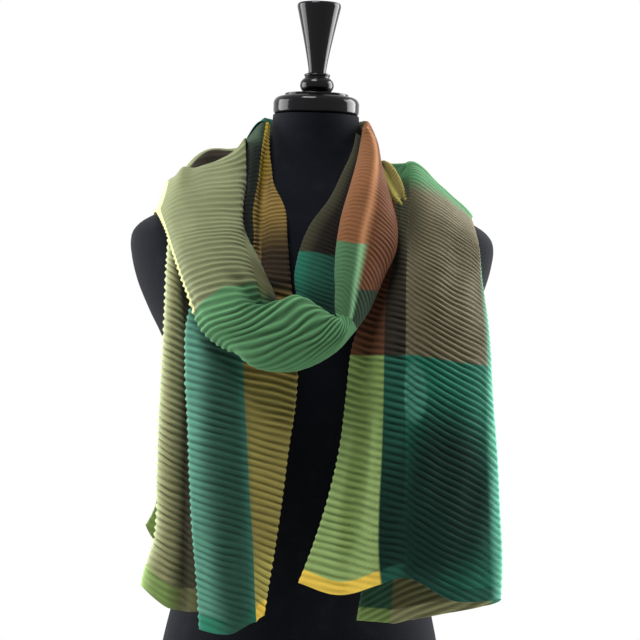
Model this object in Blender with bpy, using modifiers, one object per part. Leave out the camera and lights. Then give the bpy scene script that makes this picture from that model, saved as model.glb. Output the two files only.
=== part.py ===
"""A pleated scarf wound round the neck of a limbless dress form.

Metres, +Z up, origin in the middle of the form's flat underside, front towards -Y.
The scarf is one long cloth whose pleats run across it. It is built as the stretches that show: two
tails, the parts over the shoulders and behind the neck, and the loop that hangs on the chest.
Each stretch is a thin wall through a short table. A row of the table is one pleat line, and its
columns are the named lines that run along the cloth: its edges, its creases and its folds.
"""
import math

import bmesh
import bpy
import numpy as np

MM = 0.001

# Cloth, in millimetres
WALL = 1.6              # thickness of the cloth
PLEAT_DEPTH = 1.1       # how far a pleat stands out from the middle of the cloth, each way
PLEAT_PITCH = 17.0      # one modelled pleat stands for two or three real ones
HEM_WIDTH = 12.0        # band along each end of the scarf
GAP = 0.3               # between two pieces that meet
SEAM = 0.6              # the same, where the ends that meet slant
TURN_SEAM = 1.2         # the same, where the cloth also turns sharply

# Dress form, in millimetres
NECK_TOP = 730.7
CAP_RADIUS = 46.5
CAP_HEIGHT = 20.0
CAP_EDGE = 5.0
PLATE_RADIUS = 34.5
PLATE_HEIGHT = 3.0
FINIAL_TOP = 854.0
ROUND_STEPS = 40

# Each row of the torso is a level oval section: height, half width, depth in front, depth behind.
TORSO = (
    (0, 160, 105, 112),
    (50, 163, 110, 116),
    (100, 159, 111, 114),
    (163, 148, 107, 104),
    (220, 136, 97, 88),
    (285, 130, 90, 76),
    (350, 134, 94, 80),
    (400, 141, 102, 86),
    (450, 150, 113, 90),
    (484, 158, 118, 92),
    (516, 174, 116, 93),
    (548, 188, 108, 92),
    (575, 195, 98, 89),
    (588, 196.5, 93, 86),
    (600, 194.5, 88, 83),
    (611, 185, 82, 79),
    (616, 177, 79, 76),
    (622, 165, 75, 73),
    (632, 140, 70, 68),
    (642, 116, 65, 63),
    (652, 90, 60, 58),
    (664, 66, 55, 54),
    (680, 55, 50, 50),
    (700, 49.5, 47, 47),
    (NECK_TOP, 46.5, 46, 46),
)

# Scarf. Points are (across, depth, height): depth is negative in front of the form.
# Lines: inner edge, stripe middle, stripe line, crease, belly, outer fold, return middle, return edge.
TAIL_RIGHT = (
    ((80, -20, 662), (85, -20, 663), (90, -20, 666), (101, -20, 679), (140, -17, 655), (174, -16, 627),
     (151, -12, 630), (114, -10, 652)),
    ((84, -52, 644), (88, -54, 643), (93, -58, 642), (102, -70, 641), (141, -74, 625), (180, -64, 599),
     (153, -63, 603), (122, -72, 612)),
    ((80, -86, 597), (84, -87, 596), (89, -90, 594), (100, -106, 590), (143, -102, 571), (184, -76, 550),
     (150, -82, 530), (116, -98, 520)),
    ((64, -107, 543), (70, -108, 541), (80, -114, 538), (100, -126, 535), (146, -124, 516), (188, -92, 495),
     (142, -96, 468), (108, -99, 442)),
    ((45, -131, 485), (60, -131, 482), (79, -136, 480), (101, -141, 478), (150, -138, 459), (193, -104, 438),
     (135, -107, 404), (92, -108, 366)),
    ((40, -138, 433), (58, -138, 429), (80, -144, 427), (102, -148, 425), (152, -146, 406), (198, -112, 385),
     (132, -112, 350), (78, -111, 310)),
    ((35, -140, 379), (55, -141, 375), (80, -148, 372), (104, -151, 370), (154, -150, 351), (202, -116, 330),
     (130, -114, 293), (66, -111, 252)),
    ((24, -142, 325), (49, -143, 320), (79, -150, 317), (104, -152, 315), (155, -153, 296), (205, -118, 275),
     (130, -115, 237), (58, -111, 196)),
    ((8, -144, 271), (44, -144, 265), (81, -151, 262), (106, -153, 260), (156, -154, 241), (206, -120, 220),
     (131, -116, 183), (54, -111, 142)),
    ((-12, -146, 217), (38, -146, 211), (90, -152, 208), (110, -154, 205), (157, -155, 186), (207, -121, 165),
     (132, -117, 128), (52, -111, 88)),
)
TAIL_RIGHT_HEM = (240, 232, 243, 250, 236, 228, 215, 198)

# From the shoulder, behind the neck, to the other shoulder; the same lines as the right tail.
WRAP_BACK = (
    TAIL_RIGHT[0],
    ((76, 28, 666), (80, 29, 670), (86, 30, 674), (98, 30, 683), (134, 33, 655), (170, 31, 625),
     (148, 25, 630), (110, 20, 650)),
    ((58, 64, 668), (61, 68, 674), (65, 72, 680), (73, 77, 685), (102, 86, 648), (131, 82, 603),
     (112, 71, 611), (86, 68, 630)),
    ((0, 72, 674), (0, 75, 682), (0, 79, 689), (0, 84, 695), (0, 98, 655), (0, 104, 604),
     (0, 93, 598), (0, 86, 636)),
    ((-57, 62, 680), (-60, 67, 687), (-65, 71, 692), (-72, 76, 695), (-104, 86, 662), (-136, 80, 618),
     (-139, 76, 603), (-126, 73, 595)),
    ((-75, 32, 690), (-77, 34, 696), (-81, 35, 700), (-86, 36, 701), (-116, 38, 684), (-147, 38, 655),
     (-158, 37, 639), (-165, 36, 623)),
)

# The right limb of the loop, from the twist up to the neck and round behind it.
# Lines: inner return, inner edge, crest, side, side return.
LIMB = (
    ((35, -151, 515), (27, -160, 518), (42, -164, 512), (49, -152, 503), (50, -143, 507)),
    ((35, -142, 536), (26, -150, 541), (48, -156, 543), (63, -136, 525), (60, -126, 521)),
    ((34, -130, 557), (25, -141, 561), (52, -147, 570), (75, -122, 553), (70, -114, 549)),
    ((36, -116, 584), (26, -128, 588), (57, -134, 601), (88, -110, 583), (82, -104, 579)),
    ((39, -100, 613), (30, -112, 617), (63, -118, 629), (90, -93, 612), (85, -86, 608)),
    ((47, -80, 645), (38, -92, 649), (67, -97, 660), (84, -70, 643), (77, -64, 640)),
    ((52, -56, 674), (45, -66, 678), (68, -68, 688), (77, -46, 674), (73, -38, 671)),
    ((55, -36, 698), (49, -44, 701), (64, -45, 709), (71, -28, 698), (67, -21, 695)),
    ((55, -20, 712), (51, -27, 716), (58, -26, 720), (64, -13, 714), (62, -8, 708)),
)
# The loop: over the left shoulder, down the chest and across it to the twist.
# Lines: selvage, outer edge, middle, inner fold, inner return.
LOOP = (
    ((-165, 36, 623), (-147, 38, 655), (-116, 38, 684), (-86, 36, 701), (-75, 32, 690)),
    ((-169, -4, 622), (-151, -4, 664), (-117, -2, 689), (-82, -6, 703), (-73, -6, 693)),
    ((-169, -24, 621), (-154, -26, 657), (-122, -23, 655), (-81, -26, 701), (-72, -22, 691)),
    ((-167, -48, 620), (-154, -50, 650), (-123, -49, 670), (-80, -48, 695), (-73, -40, 686)),
    ((-163, -73, 616), (-154, -80, 632), (-118, -85, 646), (-77, -79, 652), (-71, -67, 651)),
    ((-153, -94, 598), (-147, -102, 603), (-110, -113, 612), (-73, -105, 612), (-75, -92, 610)),
    ((-142, -116, 570), (-136, -124, 575), (-104, -133, 584), (-67, -128, 582), (-55, -120, 572)),
    ((-128, -134, 536), (-122, -142, 541), (-88, -151, 553), (-56, -145, 552), (-39, -132, 541)),
    ((-107, -152, 493), (-101, -158, 499), (-72, -169, 515), (-38, -162, 527), (-24, -145, 520)),
    ((-82, -149, 476), (-80, -158, 480), (-47, -173, 499), (-13, -165, 534), (-2, -149, 527)),
    ((-48, -144, 469), (-54, -158, 460), (-19, -175, 494), (5, -166, 525), (14, -151, 518)),
    ((-2, -144, 469), (-6, -158, 459), (12, -174, 488), (22, -167, 515), (26, -153, 509)),
    ((28, -146, 484), (28, -157, 478), (35, -170, 496), (32, -167, 512), (36, -155, 508)),
    LIMB[0][::-1],
)

WRAP_NECK = (
    LIMB[-1],
    ((54, 3, 699), (52, 1, 711), (55, 3, 726), (66, 7, 704), (70, 8, 684)),
    ((38, 41, 690), (37, 39, 708), (41, 44, 728), (50, 53, 700), (55, 58, 674)),
    ((0, 53, 686), (0, 51, 706), (0, 56, 729), (0, 63, 698), (0, 66, 668)),
    ((-38, 41, 690), (-37, 39, 708), (-41, 44, 728), (-50, 50, 700), (-54, 54, 676)),
    ((-53, 3, 697), (-52, 1, 711), (-56, 1, 726), (-62, 3, 706), (-66, 5, 690)),
    ((-52, -15, 708), (-49, -17.5, 716), (-54, -17.5, 723), (-63, -10.5, 712), (-66, -8, 702)),
)

# The strip between the neck and the right limb, the far side of the same fold.
# Lines: rim return, rim, lit band, valley.
STRIP = (
    ((50, -15, 708), (44, -24, 711), (47, -25, 707), (54, -18, 701)),
    ((49, -28, 690), (41, -41, 693), (46, -43, 688), (57, -34, 680)),
    ((43, -54, 664), (31, -63, 668), (40, -66, 663), (58, -54, 652)),
    ((30, -76, 634), (18, -84, 638), (30, -87, 632), (54, -75, 620)),
    ((10, -97, 602), (-3, -104, 606), (12, -108, 600), (43, -96, 588)),
    ((0, -112, 574), (-13, -119, 577), (3, -122, 572), (40, -107, 560)),
    ((-3, -122, 546), (-16, -130, 549), (0, -133, 543), (36, -117, 531)),
    ((0, -126, 523), (-11, -134, 526), (2, -137, 521), (33, -123, 509)),
)

# The inner turn of the scarf where it comes down on the left of the neck.
# Lines: right edge, valley, left edge, far edge.
NECK_LEFT = (
    ((-48, -19, 717), (-50, -20, 722), (-54, -19, 723), (-63, -12, 712)),
    ((-47, -40, 692), (-50, -43, 692), (-58, -47, 693), (-66, -31, 689)),
    ((-43, -62, 655), (-52, -58, 655), (-61, -66, 656), (-76, -50, 652)),
    ((-29, -84, 625), (-53, -78, 623), (-66, -86, 622), (-82, -70, 620)),
    ((-25, -104, 590), (-52, -98, 588), (-64, -104, 586), (-88, -92, 586)),
    ((-20, -121, 547), (-52, -119, 553), (-76, -117, 561), (-98, -110, 569)),
)
# Lines: stripe edge, stripe line, middle, left fold, fold return.
TAIL_LEFT = (
    ((-20, -121, 547), (-52, -119, 553), (-76, -117, 561), (-98, -110, 569), (-90, -104, 565)),
    ((-11, -134, 489), (-66, -136, 500), (-97, -134, 508), (-124, -128, 516), (-108, -120, 513)),
    ((-11, -142, 428), (-65, -146, 440), (-96, -146, 448), (-125, -140, 455), (-108, -132, 452)),
    ((-17, -145, 376), (-60, -149, 386), (-92, -149, 394), (-121, -143, 402), (-104, -135, 399)),
    ((-22, -147, 325), (-56, -151, 335), (-88, -151, 343), (-118, -145, 351), (-101, -137, 348)),
    ((-28, -148, 274), (-51, -152, 283), (-84, -152, 292), (-114, -146, 301), (-97, -138, 298)),
    ((-35, -149, 222), (-47, -153, 229), (-78, -153, 240), (-108, -147, 250), (-92, -139, 247)),
    ((-40, -150, 170), (-43, -153, 177), (-72, -153, 188), (-103, -148, 198), (-88, -140, 195)),
    ((-42, -150, 118), (-43, -153, 125), (-68, -153, 136), (-100, -148, 146), (-85, -140, 143)),
)
TAIL_LEFT_HEM = (207, 200, 187, 190, 193)

# The half of the left tail that is folded behind and rolls out on its left.
# Lines: inner edge, front, left fold, back, back edge.
ROLL = (
    ((-118, -94, 590), (-134, -97, 598), (-150, -86, 606), (-146, -76, 604), (-130, -77, 597)),
    ((-118, -106, 540), (-136, -109, 550), (-151, -98, 560), (-147, -88, 557), (-128, -88, 548)),
    ((-112, -121.5, 485), (-134, -118, 495), (-151, -108, 505), (-148, -96, 502), (-128, -93, 491)),
    ((-108, -131, 425), (-134, -127, 435), (-152, -115, 446), (-149, -102, 443), (-126, -98, 431)),
    ((-106, -134, 370), (-133, -130, 380), (-153, -118, 392), (-149, -105, 389), (-124, -101, 376)),
    ((-104, -136, 315), (-133, -131, 326), (-153, -120, 338), (-149, -107, 335), (-123, -102, 321)),
    ((-101, -137, 260), (-133, -132, 272), (-157, -121, 284), (-151, -108, 281), (-122, -103, 266)),
    ((-98, -137, 205), (-134, -132, 220), (-166, -121, 232), (-158, -108, 228), (-122, -103, 212)),
    ((-96, -137, 150), (-134, -132, 166), (-170, -121, 178), (-162, -108, 174), (-122, -103, 158)),
)
ROLL_HEM = (209, 211, 238, 232, 214)

# The end corner of that half, which hangs behind the roll and shows past its left side.
# Lines: inner edge, middle, outer edge.
CORNER = (
    ((-122, -89, 470), (-134, -90, 474), (-145, -91, 478)),
    ((-121, -95, 400), (-134, -96, 404), (-147, -97, 408)),
    ((-119, -97, 340), (-134, -98, 344), (-150, -99, 348)),
    ((-118, -98, 300), (-136, -98, 304), (-158, -99, 308)),
    ((-118, -98, 262), (-138, -98, 266), (-166, -99, 270)),
    ((-118, -98, 226), (-140, -98, 230), (-170, -99, 234)),
)
CORNER_HEM = (256, 262, 288)

# The striped edge of the scarf, gathered on the right shoulder.
# Lines: near edge, near fold, valley, far fold, far edge.
GATHER = (
    ((73, 4, 678), (79, 2, 685), (85, 5, 679), (90, 2, 686), (94, 6, 692)),
    ((74, -18, 675), (80, -22, 681), (86, -17, 674), (91, -21, 682), (96, -15, 690)),
    ((80, -41, 664), (84, -46, 669), (88, -40, 662), (92, -45, 668), (96, -38, 673)),
    ((86, -57, 648), (88, -61, 650), (91, -57.5, 646), (93, -62.5, 648), (95, -61.5, 646.5)),
)


# ---------------------------------------------------------------- curves and sheets

def slopes(values, steps):
    """Slope of a smooth curve at each of its points, along the second last axis of values.

    steps are the distances between neighbouring points. An inner point takes the slope of the parabola
    through it and its neighbours, an end point that of the straight line to its neighbour.
    """
    rise = np.diff(values, axis=-2) / steps[..., None]
    before, after = steps[..., :-1, None], steps[..., 1:, None]
    inner = (after * rise[..., :-1, :] + before * rise[..., 1:, :]) / (before + after)
    return np.concatenate((rise[..., :1, :], inner, rise[..., -1:, :]), axis=-2)


def cubic(start, end, start_slope, end_slope, t):
    """Point at share t of the cubic piece between two points whose slopes are given for the whole piece."""
    return ((2 * t**3 - 3 * t**2 + 1) * start + (t**3 - 2 * t**2 + t) * start_slope
            + (3 * t**2 - 2 * t**3) * end + (t**3 - t**2) * end_slope)


def distances(rows):
    """Distance along the cloth at each row, averaged over its lines."""
    steps = np.linalg.norm(np.diff(rows, axis=0), axis=2).mean(axis=1)
    return np.concatenate(([0.0], np.cumsum(steps)))


def along_lines(rows, at):
    """Points of every line at the distances at: one set of lines for each distance."""
    knots = distances(rows)
    steps = np.diff(knots)
    slope = slopes(rows.swapaxes(0, 1), steps).swapaxes(0, 1)
    piece = np.clip(np.searchsorted(knots, at, side="right") - 1, 0, len(steps) - 1)
    length = steps[piece][..., None, None]
    t = (at - knots[piece])[..., None, None] / length
    return cubic(rows[piece], rows[piece + 1], slope[piece] * length, slope[piece + 1] * length, t)


def across_lines(lines, place):
    """Points between the lines: place counts lines, so that 1.5 is halfway from line 1 to line 2."""
    steps = np.linalg.norm(np.diff(lines, axis=-2), axis=-1) + 1e-6
    slope = slopes(lines, steps)
    piece = np.minimum(place.astype(int), lines.shape[-2] - 2)
    column = np.arange(len(place))
    length = steps[:, column, piece, None]
    start_slope, end_slope = slope[:, column, piece] * length, slope[:, column, piece + 1] * length
    return cubic(lines[:, column, piece], lines[:, column, piece + 1], start_slope, end_slope,
                 (place - piece)[:, None])


def sheet(rows, cells, along, start, stop):
    """Points of the smooth sheet through rows, along + 1 rows of them between start and stop.

    cells[i] equal steps lead from line i to line i + 1. start and stop are distances along the cloth at
    each named line, so that an end can slant.
    """
    rows = np.array(rows, dtype=float)
    numbers = np.arange(rows.shape[1])
    place = np.concatenate([i + np.arange(count) / count for i, count in enumerate(cells)] + [numbers[-1:]])
    first = np.interp(place, numbers, np.broadcast_to(start, numbers.shape))
    last = np.interp(place, numbers, np.broadcast_to(stop, numbers.shape))
    share = np.linspace(0.0, 1.0, along + 1)[:, None]
    return across_lines(along_lines(rows, first + (last - first) * share), place)


def cloth_length(rows):
    """Length of the cloth along its lines, on average."""
    return distances(np.array(rows, dtype=float))[-1]


def hem_places(rows, heights):
    """Distance along the cloth at which each line comes down to its height in heights."""
    rows = np.array(rows, dtype=float)
    knots = distances(rows)
    return np.array([np.interp(-height, -rows[:, line, 2], knots) for line, height in enumerate(heights)])


def facing(points):
    """Unit normals of a grid of points."""
    normal = np.cross(np.gradient(points, axis=1), np.gradient(points, axis=0))
    return normal / np.linalg.norm(normal, axis=2, keepdims=True)


def material(name, colour, roughness):
    """Plain finish of one sub-part."""
    finish = bpy.data.materials.new(name)
    finish.use_nodes = True
    shader = finish.node_tree.nodes["Principled BSDF"]
    shader.inputs["Base Color"].default_value = (*colour, 1.0)
    shader.inputs["Roughness"].default_value = roughness
    shader.inputs["Metallic"].default_value = 0.0
    return finish


def add_object(name, mesh, finish):
    """Put a mesh in the scarf's collection as one named sub-part."""
    piece = bpy.data.objects.new(name, mesh)
    mesh.materials.append(finish)
    scarf.objects.link(piece)
    return piece


def cloth(name, rows, cells, finish, start=0.0, stop=None, before=(), after=(), pleats=True):
    """One stretch of the scarf: the sheet through rows, folded into pleats, with its wall.

    before and after are the neighbouring stretches' next rows, so that the cloth runs on smoothly.
    """
    stop = cloth_length(rows) if stop is None else stop
    lead = cloth_length((*before, rows[0])) if before else 0.0
    rows = (*before, *rows, *after)
    start, stop = start + lead, stop + lead
    length = float(np.mean(stop) - np.mean(start))
    along = 2 * max(1, round(length / PLEAT_PITCH)) if pleats else 1
    points = sheet(rows, cells, along, start, stop)
    if pleats:
        swing = np.where(np.arange(along + 1) % 2, -PLEAT_DEPTH, PLEAT_DEPTH)
        swing[[0, 1, -2, -1]] = 0.0
        points = points + facing(points) * swing[:, None, None]
    count = points.shape[1]
    corners = np.arange(along * count).reshape(along, count)[:, :-1].ravel()
    faces = np.stack((corners, corners + count, corners + count + 1, corners + 1), axis=1)
    mesh = bpy.data.meshes.new(name)
    mesh.from_pydata((points * MM).reshape(-1, 3).tolist(), [], faces.tolist())
    piece = add_object(name, mesh, finish)
    wall = piece.modifiers.new("wall", "SOLIDIFY")
    wall.thickness = WALL * MM
    wall.offset = 0.0
    return piece


# ---------------------------------------------------------------- dress form

def torso(finish):
    """Loft through level oval sections, closed at the underside and at the neck."""
    rows = np.array(TORSO, dtype=float)
    angle = np.linspace(0.0, 2 * math.pi, ROUND_STEPS, endpoint=False)
    height, half_width, front, back = rows.T[:, :, None]
    depth = np.where(np.sin(angle) < 0, front, back)
    points = np.stack((half_width * np.cos(angle), depth * np.sin(angle), height + 0 * angle), axis=2)
    build = bmesh.new()
    rings = [[build.verts.new(point * MM) for point in ring] for ring in points]
    for low, high in zip(rings, rings[1:]):
        for i in range(ROUND_STEPS):
            j = (i + 1) % ROUND_STEPS
            build.faces.new((low[i], low[j], high[j], high[i]))
    build.faces.new(rings[0][::-1])
    build.faces.new(rings[-1])
    mesh = bpy.data.meshes.new("form_torso")
    build.to_mesh(mesh)
    build.free()
    mesh.shade_smooth()
    return add_object("form_torso", mesh, finish)


def turned(name, profile, finish):
    """Solid of revolution: profile is (radius, height) in mm, from its top to its bottom."""
    mesh = bpy.data.meshes.new(name)
    points = [(radius * MM, 0.0, height * MM) for radius, height in profile]
    mesh.from_pydata(points, [(i, i + 1) for i in range(len(points) - 1)], [])
    piece = add_object(name, mesh, finish)
    screw = piece.modifiers.new("turn", "SCREW")
    screw.steps = ROUND_STEPS
    screw.render_steps = ROUND_STEPS
    screw.use_merge_vertices = True
    screw.merge_threshold = 0.00001
    return piece


def arc(centre_radius, centre_height, radius, start, end, steps):
    """Points of a round edge in a turned profile, angles in degrees from the outward direction."""
    angles = [math.radians(start + (end - start) * i / steps) for i in range(steps + 1)]
    return [(centre_radius + radius * math.cos(a), centre_height + radius * math.sin(a)) for a in angles]


def neck_cap(finish):
    """Gloss cap on the neck, with a round top edge."""
    bottom = NECK_TOP + GAP
    top = bottom + CAP_HEIGHT
    edge = arc(CAP_RADIUS - CAP_EDGE, top - CAP_EDGE, CAP_EDGE, 90, 0, 4)
    return turned("form_neck_cap", [(0, top)] + edge + [(CAP_RADIUS, bottom), (0, bottom)], finish)


def cap_plate(finish):
    """Thin plate under the finial."""
    bottom = NECK_TOP + GAP + CAP_HEIGHT + GAP
    top = bottom + PLATE_HEIGHT
    profile = [(0, top), (PLATE_RADIUS, top), (PLATE_RADIUS, bottom), (0, bottom)]
    return turned("form_cap_plate", profile, finish)


def finial(finish):
    """Tapered finial with a bead and a small ring at its foot."""
    foot = NECK_TOP + CAP_HEIGHT + PLATE_HEIGHT + 3 * GAP
    top = [(0, FINIAL_TOP), (19, FINIAL_TOP - 0.5), (22.3, FINIAL_TOP - 2.5), (23.6, FINIAL_TOP - 6)]
    taper = [(9.6, foot + 23.5)]
    ring = [(14.2, foot + 22), (14.2, foot + 18.5)]
    bead = [(17.4, foot + 16.5), (18.3, foot + 12), (17.6, foot + 7), (15.3, foot), (0, foot)]
    return turned("form_finial", top + taper + ring + bead, finish)


# ---------------------------------------------------------------- scarf

def pick(row, lines):
    """The points of a row at the given lines, for a neighbour with other lines."""
    return tuple(row[line] for line in lines)


def tail(parts, hem_name, rows, heights, cells, hem_finish, before=()):
    """A hanging end down to its slanting edge, and its hem as a band of its own.

    Each part is (name, finish, top, bottom): top and bottom are shares of the way down to the hem.
    """
    end = hem_places(rows, heights)
    hem = end - HEM_WIDTH
    for name, finish, top, bottom in parts:
        cloth(name, rows, cells, finish, top * hem + SEAM, bottom * hem - SEAM, before)
    cloth(hem_name, rows, cells, hem_finish, hem, end, before, pleats=False)


def tails():
    """The two hanging ends of the scarf."""
    right_parts = (("scarf_tail_right_top", brown, 0.0, 0.3), ("scarf_tail_right_upper", brown, 0.3, 0.6),
                   ("scarf_tail_right_lower", green, 0.6, 1.0))
    tail(right_parts, "scarf_hem_right", TAIL_RIGHT, TAIL_RIGHT_HEM, (1, 1, 1, 1, 1, 2, 1),
         yellow, (WRAP_BACK[1],))
    tail((("scarf_tail_left", green, 0.0, 1.0),), "scarf_hem_left", TAIL_LEFT, TAIL_LEFT_HEM, (1, 1, 1, 2),
         teal, (pick(NECK_LEFT[-2], (0, 1, 2, 3, 3)),))
    tail((("scarf_roll_left", olive, 0.0, 1.0),), "scarf_hem_roll", ROLL, ROLL_HEM, (1, 1, 2, 1), lime)
    cloth("scarf_corner_left", CORNER, (1, 1), lime, 0.0, hem_places(CORNER, CORNER_HEM))


def wraps():
    """The parts over the shoulders and behind the neck."""
    shoulder = 0.24 * cloth_length(WRAP_BACK)
    end = cloth_length(WRAP_BACK)
    cells = (1, 1, 1, 1, 1, 2, 1)
    before = (TAIL_RIGHT[1],)
    after = (pick(LOOP[1], (4, 4, 3, 3, 2, 1, 1, 0)),)
    cloth("scarf_shoulder_right", WRAP_BACK, cells, brown, SEAM / 2, shoulder - SEAM / 2, before, after)
    cloth("scarf_nape_outer", WRAP_BACK, cells, olive, shoulder + SEAM / 2, end - SEAM, before, after)
    cloth("scarf_nape_inner", WRAP_NECK, (1, 2, 1, 1), brown, TURN_SEAM, None, (LIMB[-2],))
    cloth("scarf_gather_right", GATHER, (1, 1, 1, 1), yellow)


def loop():
    """The loop on the chest, its right limb and the turn beside the neck."""
    down = cloth_length(LOOP[:8])
    cells = (1, 2, 2, 1)
    before = (pick(WRAP_BACK[-2], (7, 5, 4, 3, 0)),)
    cloth("scarf_loop_left", LOOP, cells, sage, SEAM, down - SEAM / 2, before)
    end = cloth_length(LOOP)
    cloth("scarf_loop_bottom", LOOP, cells, green, down + SEAM / 2, end - SEAM,
          before, (LIMB[1][::-1],))
    end = cloth_length(LIMB)
    cloth("scarf_limb_right", LIMB, cells[::-1], orange, TURN_SEAM, end - TURN_SEAM,
          (LOOP[-2][::-1],), (WRAP_NECK[1],))
    cloth("scarf_strip_right", STRIP, (1, 1, 1), brown)
    end = cloth_length(NECK_LEFT)
    cloth("scarf_neck_left", NECK_LEFT, (1, 1, 1), gold, 0.0, end - SEAM / 2, (), (TAIL_LEFT[1][:4],))


for old in list(bpy.data.objects):
    bpy.data.objects.remove(old)
scarf = bpy.data.collections.new("pleated_scarf_on_dress_form")
bpy.context.scene.collection.children.link(scarf)

jersey = material("black_jersey", (0.006, 0.007, 0.010), 0.8)
gloss = material("black_gloss", (0.004, 0.004, 0.005), 0.15)
sage = material("sage_cloth", (0.30, 0.33, 0.16), 0.8)
green = material("green_cloth", (0.06, 0.26, 0.13), 0.8)
teal = material("teal_cloth", (0.01, 0.20, 0.13), 0.8)
olive = material("olive_cloth", (0.17, 0.17, 0.05), 0.8)
brown = material("brown_cloth", (0.12, 0.10, 0.06), 0.8)
orange = material("orange_cloth", (0.42, 0.17, 0.06), 0.8)
gold = material("gold_cloth", (0.40, 0.26, 0.05), 0.8)
yellow = material("yellow_cloth", (0.62, 0.42, 0.03), 0.8)
lime = material("lime_cloth", (0.22, 0.30, 0.06), 0.8)

torso(jersey)
neck_cap(gloss)
cap_plate(gloss)
finial(gloss)
tails()
wraps()
loop()
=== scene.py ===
# %% [markdown]
# # A pleated scarf on a dress form
# A crinkle-pleated scarf is one long rectangle of thin cloth. Its pleats run from selvage to selvage and
# are set with heat, so the cloth works like a soft spring: it stays narrow, and every ridge shows.
# Here it is wound once and a half round the neck of a black display torso.
#
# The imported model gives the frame: solids of the right size in the right place. Each stretch of the scarf
# is rebuilt on the form of its solid with every real pleat, and the solid is then hidden.

# %% Load the frame
import math

import bpy
import numpy as np
from mathutils import Matrix, Vector


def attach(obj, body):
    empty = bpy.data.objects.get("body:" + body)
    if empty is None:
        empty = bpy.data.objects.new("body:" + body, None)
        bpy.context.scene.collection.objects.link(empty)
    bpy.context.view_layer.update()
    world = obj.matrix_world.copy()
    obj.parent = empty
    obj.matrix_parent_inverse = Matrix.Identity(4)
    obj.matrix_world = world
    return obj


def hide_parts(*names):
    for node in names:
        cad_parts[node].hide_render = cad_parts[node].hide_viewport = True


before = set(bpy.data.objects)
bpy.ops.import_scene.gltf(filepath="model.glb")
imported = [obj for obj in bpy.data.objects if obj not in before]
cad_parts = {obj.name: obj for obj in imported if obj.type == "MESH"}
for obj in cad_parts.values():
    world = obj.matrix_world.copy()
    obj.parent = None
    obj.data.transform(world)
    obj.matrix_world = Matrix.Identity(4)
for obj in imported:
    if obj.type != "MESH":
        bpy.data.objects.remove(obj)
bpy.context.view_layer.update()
MM = 0.001              # the tables are in millimetres and the meshes in metres

# %% [markdown]
# ## Smooth lines through a few points
# The cloth is described by short tables. A row of a table is one pleat, seen from the side of the scarf as
# a line from selvage to selvage, and a column is a line that runs along the scarf: an edge, a crease or a
# fold. A curve through the points could be a Bezier or a NURBS, but a cubic whose slopes come from the
# neighbouring points passes through every point and needs no handles, so the tables stay short.

# %% Curves
def slopes(values, steps):
    """Slope at each point along the second last axis: that of the parabola through it and its neighbours.

    steps are the distances between neighbouring points. An end point takes the slope of its straight line.
    """
    rise = np.diff(values, axis=-2) / steps[..., None]
    before, after = steps[..., :-1, None], steps[..., 1:, None]
    inner = (after * rise[..., :-1, :] + before * rise[..., 1:, :]) / (before + after)
    return np.concatenate((rise[..., :1, :], inner, rise[..., -1:, :]), axis=-2)


def cubic(start, end, start_slope, end_slope, t):
    """Point at share t between two points: a cubic that has the given slopes at its ends."""
    return ((2 * t**3 - 3 * t**2 + 1) * start + (t**3 - 2 * t**2 + t) * start_slope
            + (3 * t**2 - 2 * t**3) * end + (t**3 - t**2) * end_slope)


def distances(rows):
    """Distance along the cloth at each row of a table, averaged over its lines."""
    steps = np.linalg.norm(np.diff(rows, axis=0), axis=2).mean(axis=1)
    return np.concatenate(([0.0], np.cumsum(steps)))


def along_lines(rows, at):
    """Points of every line at the distances at, on the cubic between two rows: one set for each distance."""
    knots = distances(rows)
    steps = np.diff(knots)
    slope = slopes(rows.swapaxes(0, 1), steps).swapaxes(0, 1)
    piece = np.clip(np.searchsorted(knots, at, side="right") - 1, 0, len(steps) - 1)
    length = steps[piece][..., None, None]
    t = (at - knots[piece])[..., None, None] / length
    return cubic(rows[piece], rows[piece + 1], slope[piece] * length, slope[piece + 1] * length, t)


def across_lines(lines, place):
    """Points on the cubic between two lines: place counts lines, so 1.5 is halfway from line 1 to line 2."""
    steps = np.linalg.norm(np.diff(lines, axis=-2), axis=-1) + 1e-6
    slope = slopes(lines, steps)
    piece = np.minimum(place.astype(int), lines.shape[-2] - 2)
    column = np.arange(len(place))
    length = steps[:, column, piece, None]
    start_slope, end_slope = slope[:, column, piece] * length, slope[:, column, piece + 1] * length
    return cubic(lines[:, column, piece], lines[:, column, piece + 1], start_slope, end_slope,
                 (place - piece)[:, None])


# %% [markdown]
# ## Where the cloth begins and ends
# A cut end rarely follows a row of its table: it slants and dips. So each table runs on past the hem, and a
# short list says at which height every line stops. The list is smoothed between the lines as the table is.

# %% Lengths and hems
def cloth_length(rows):
    """Length of the cloth along its lines, on average, in millimetres."""
    return distances(np.array(rows, dtype=float))[-1]


def hem_places(rows, heights):
    """Distance along the cloth at which each line comes down to its height in heights."""
    rows = np.array(rows, dtype=float)
    knots = distances(rows)
    return np.array([np.interp(-height, -rows[:, line, 2], knots) for line, height in enumerate(heights)])


def between_lines(values, lines, place):
    """Smooth values between the lines, from one value for each line, or one for all."""
    points = np.broadcast_to(np.array(values, dtype=float), (lines,))[:, None]
    slope = slopes(points, np.ones(lines - 1))
    piece = np.minimum(place.astype(int), lines - 2)
    t = (place - piece)[:, None]
    return cubic(points[piece], points[piece + 1], slope[piece], slope[piece + 1], t)[:, 0]


# %% [markdown]
# ## What disturbs a pleat
# Real pleats are never quite even, so slow waves of several directions bend the ridges a little and make
# some deeper than others. Where the cloth turns sharply or is pulled flat the pleats fade, and where it
# hangs askew they lean, so a stretch has a table of their strength and may have one of their lean. A crease
# or a bulge that crosses the pleats is a bell curve. All this could be sculpted, but a few numbers can be
# read, and changed, in a moment.

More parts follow.
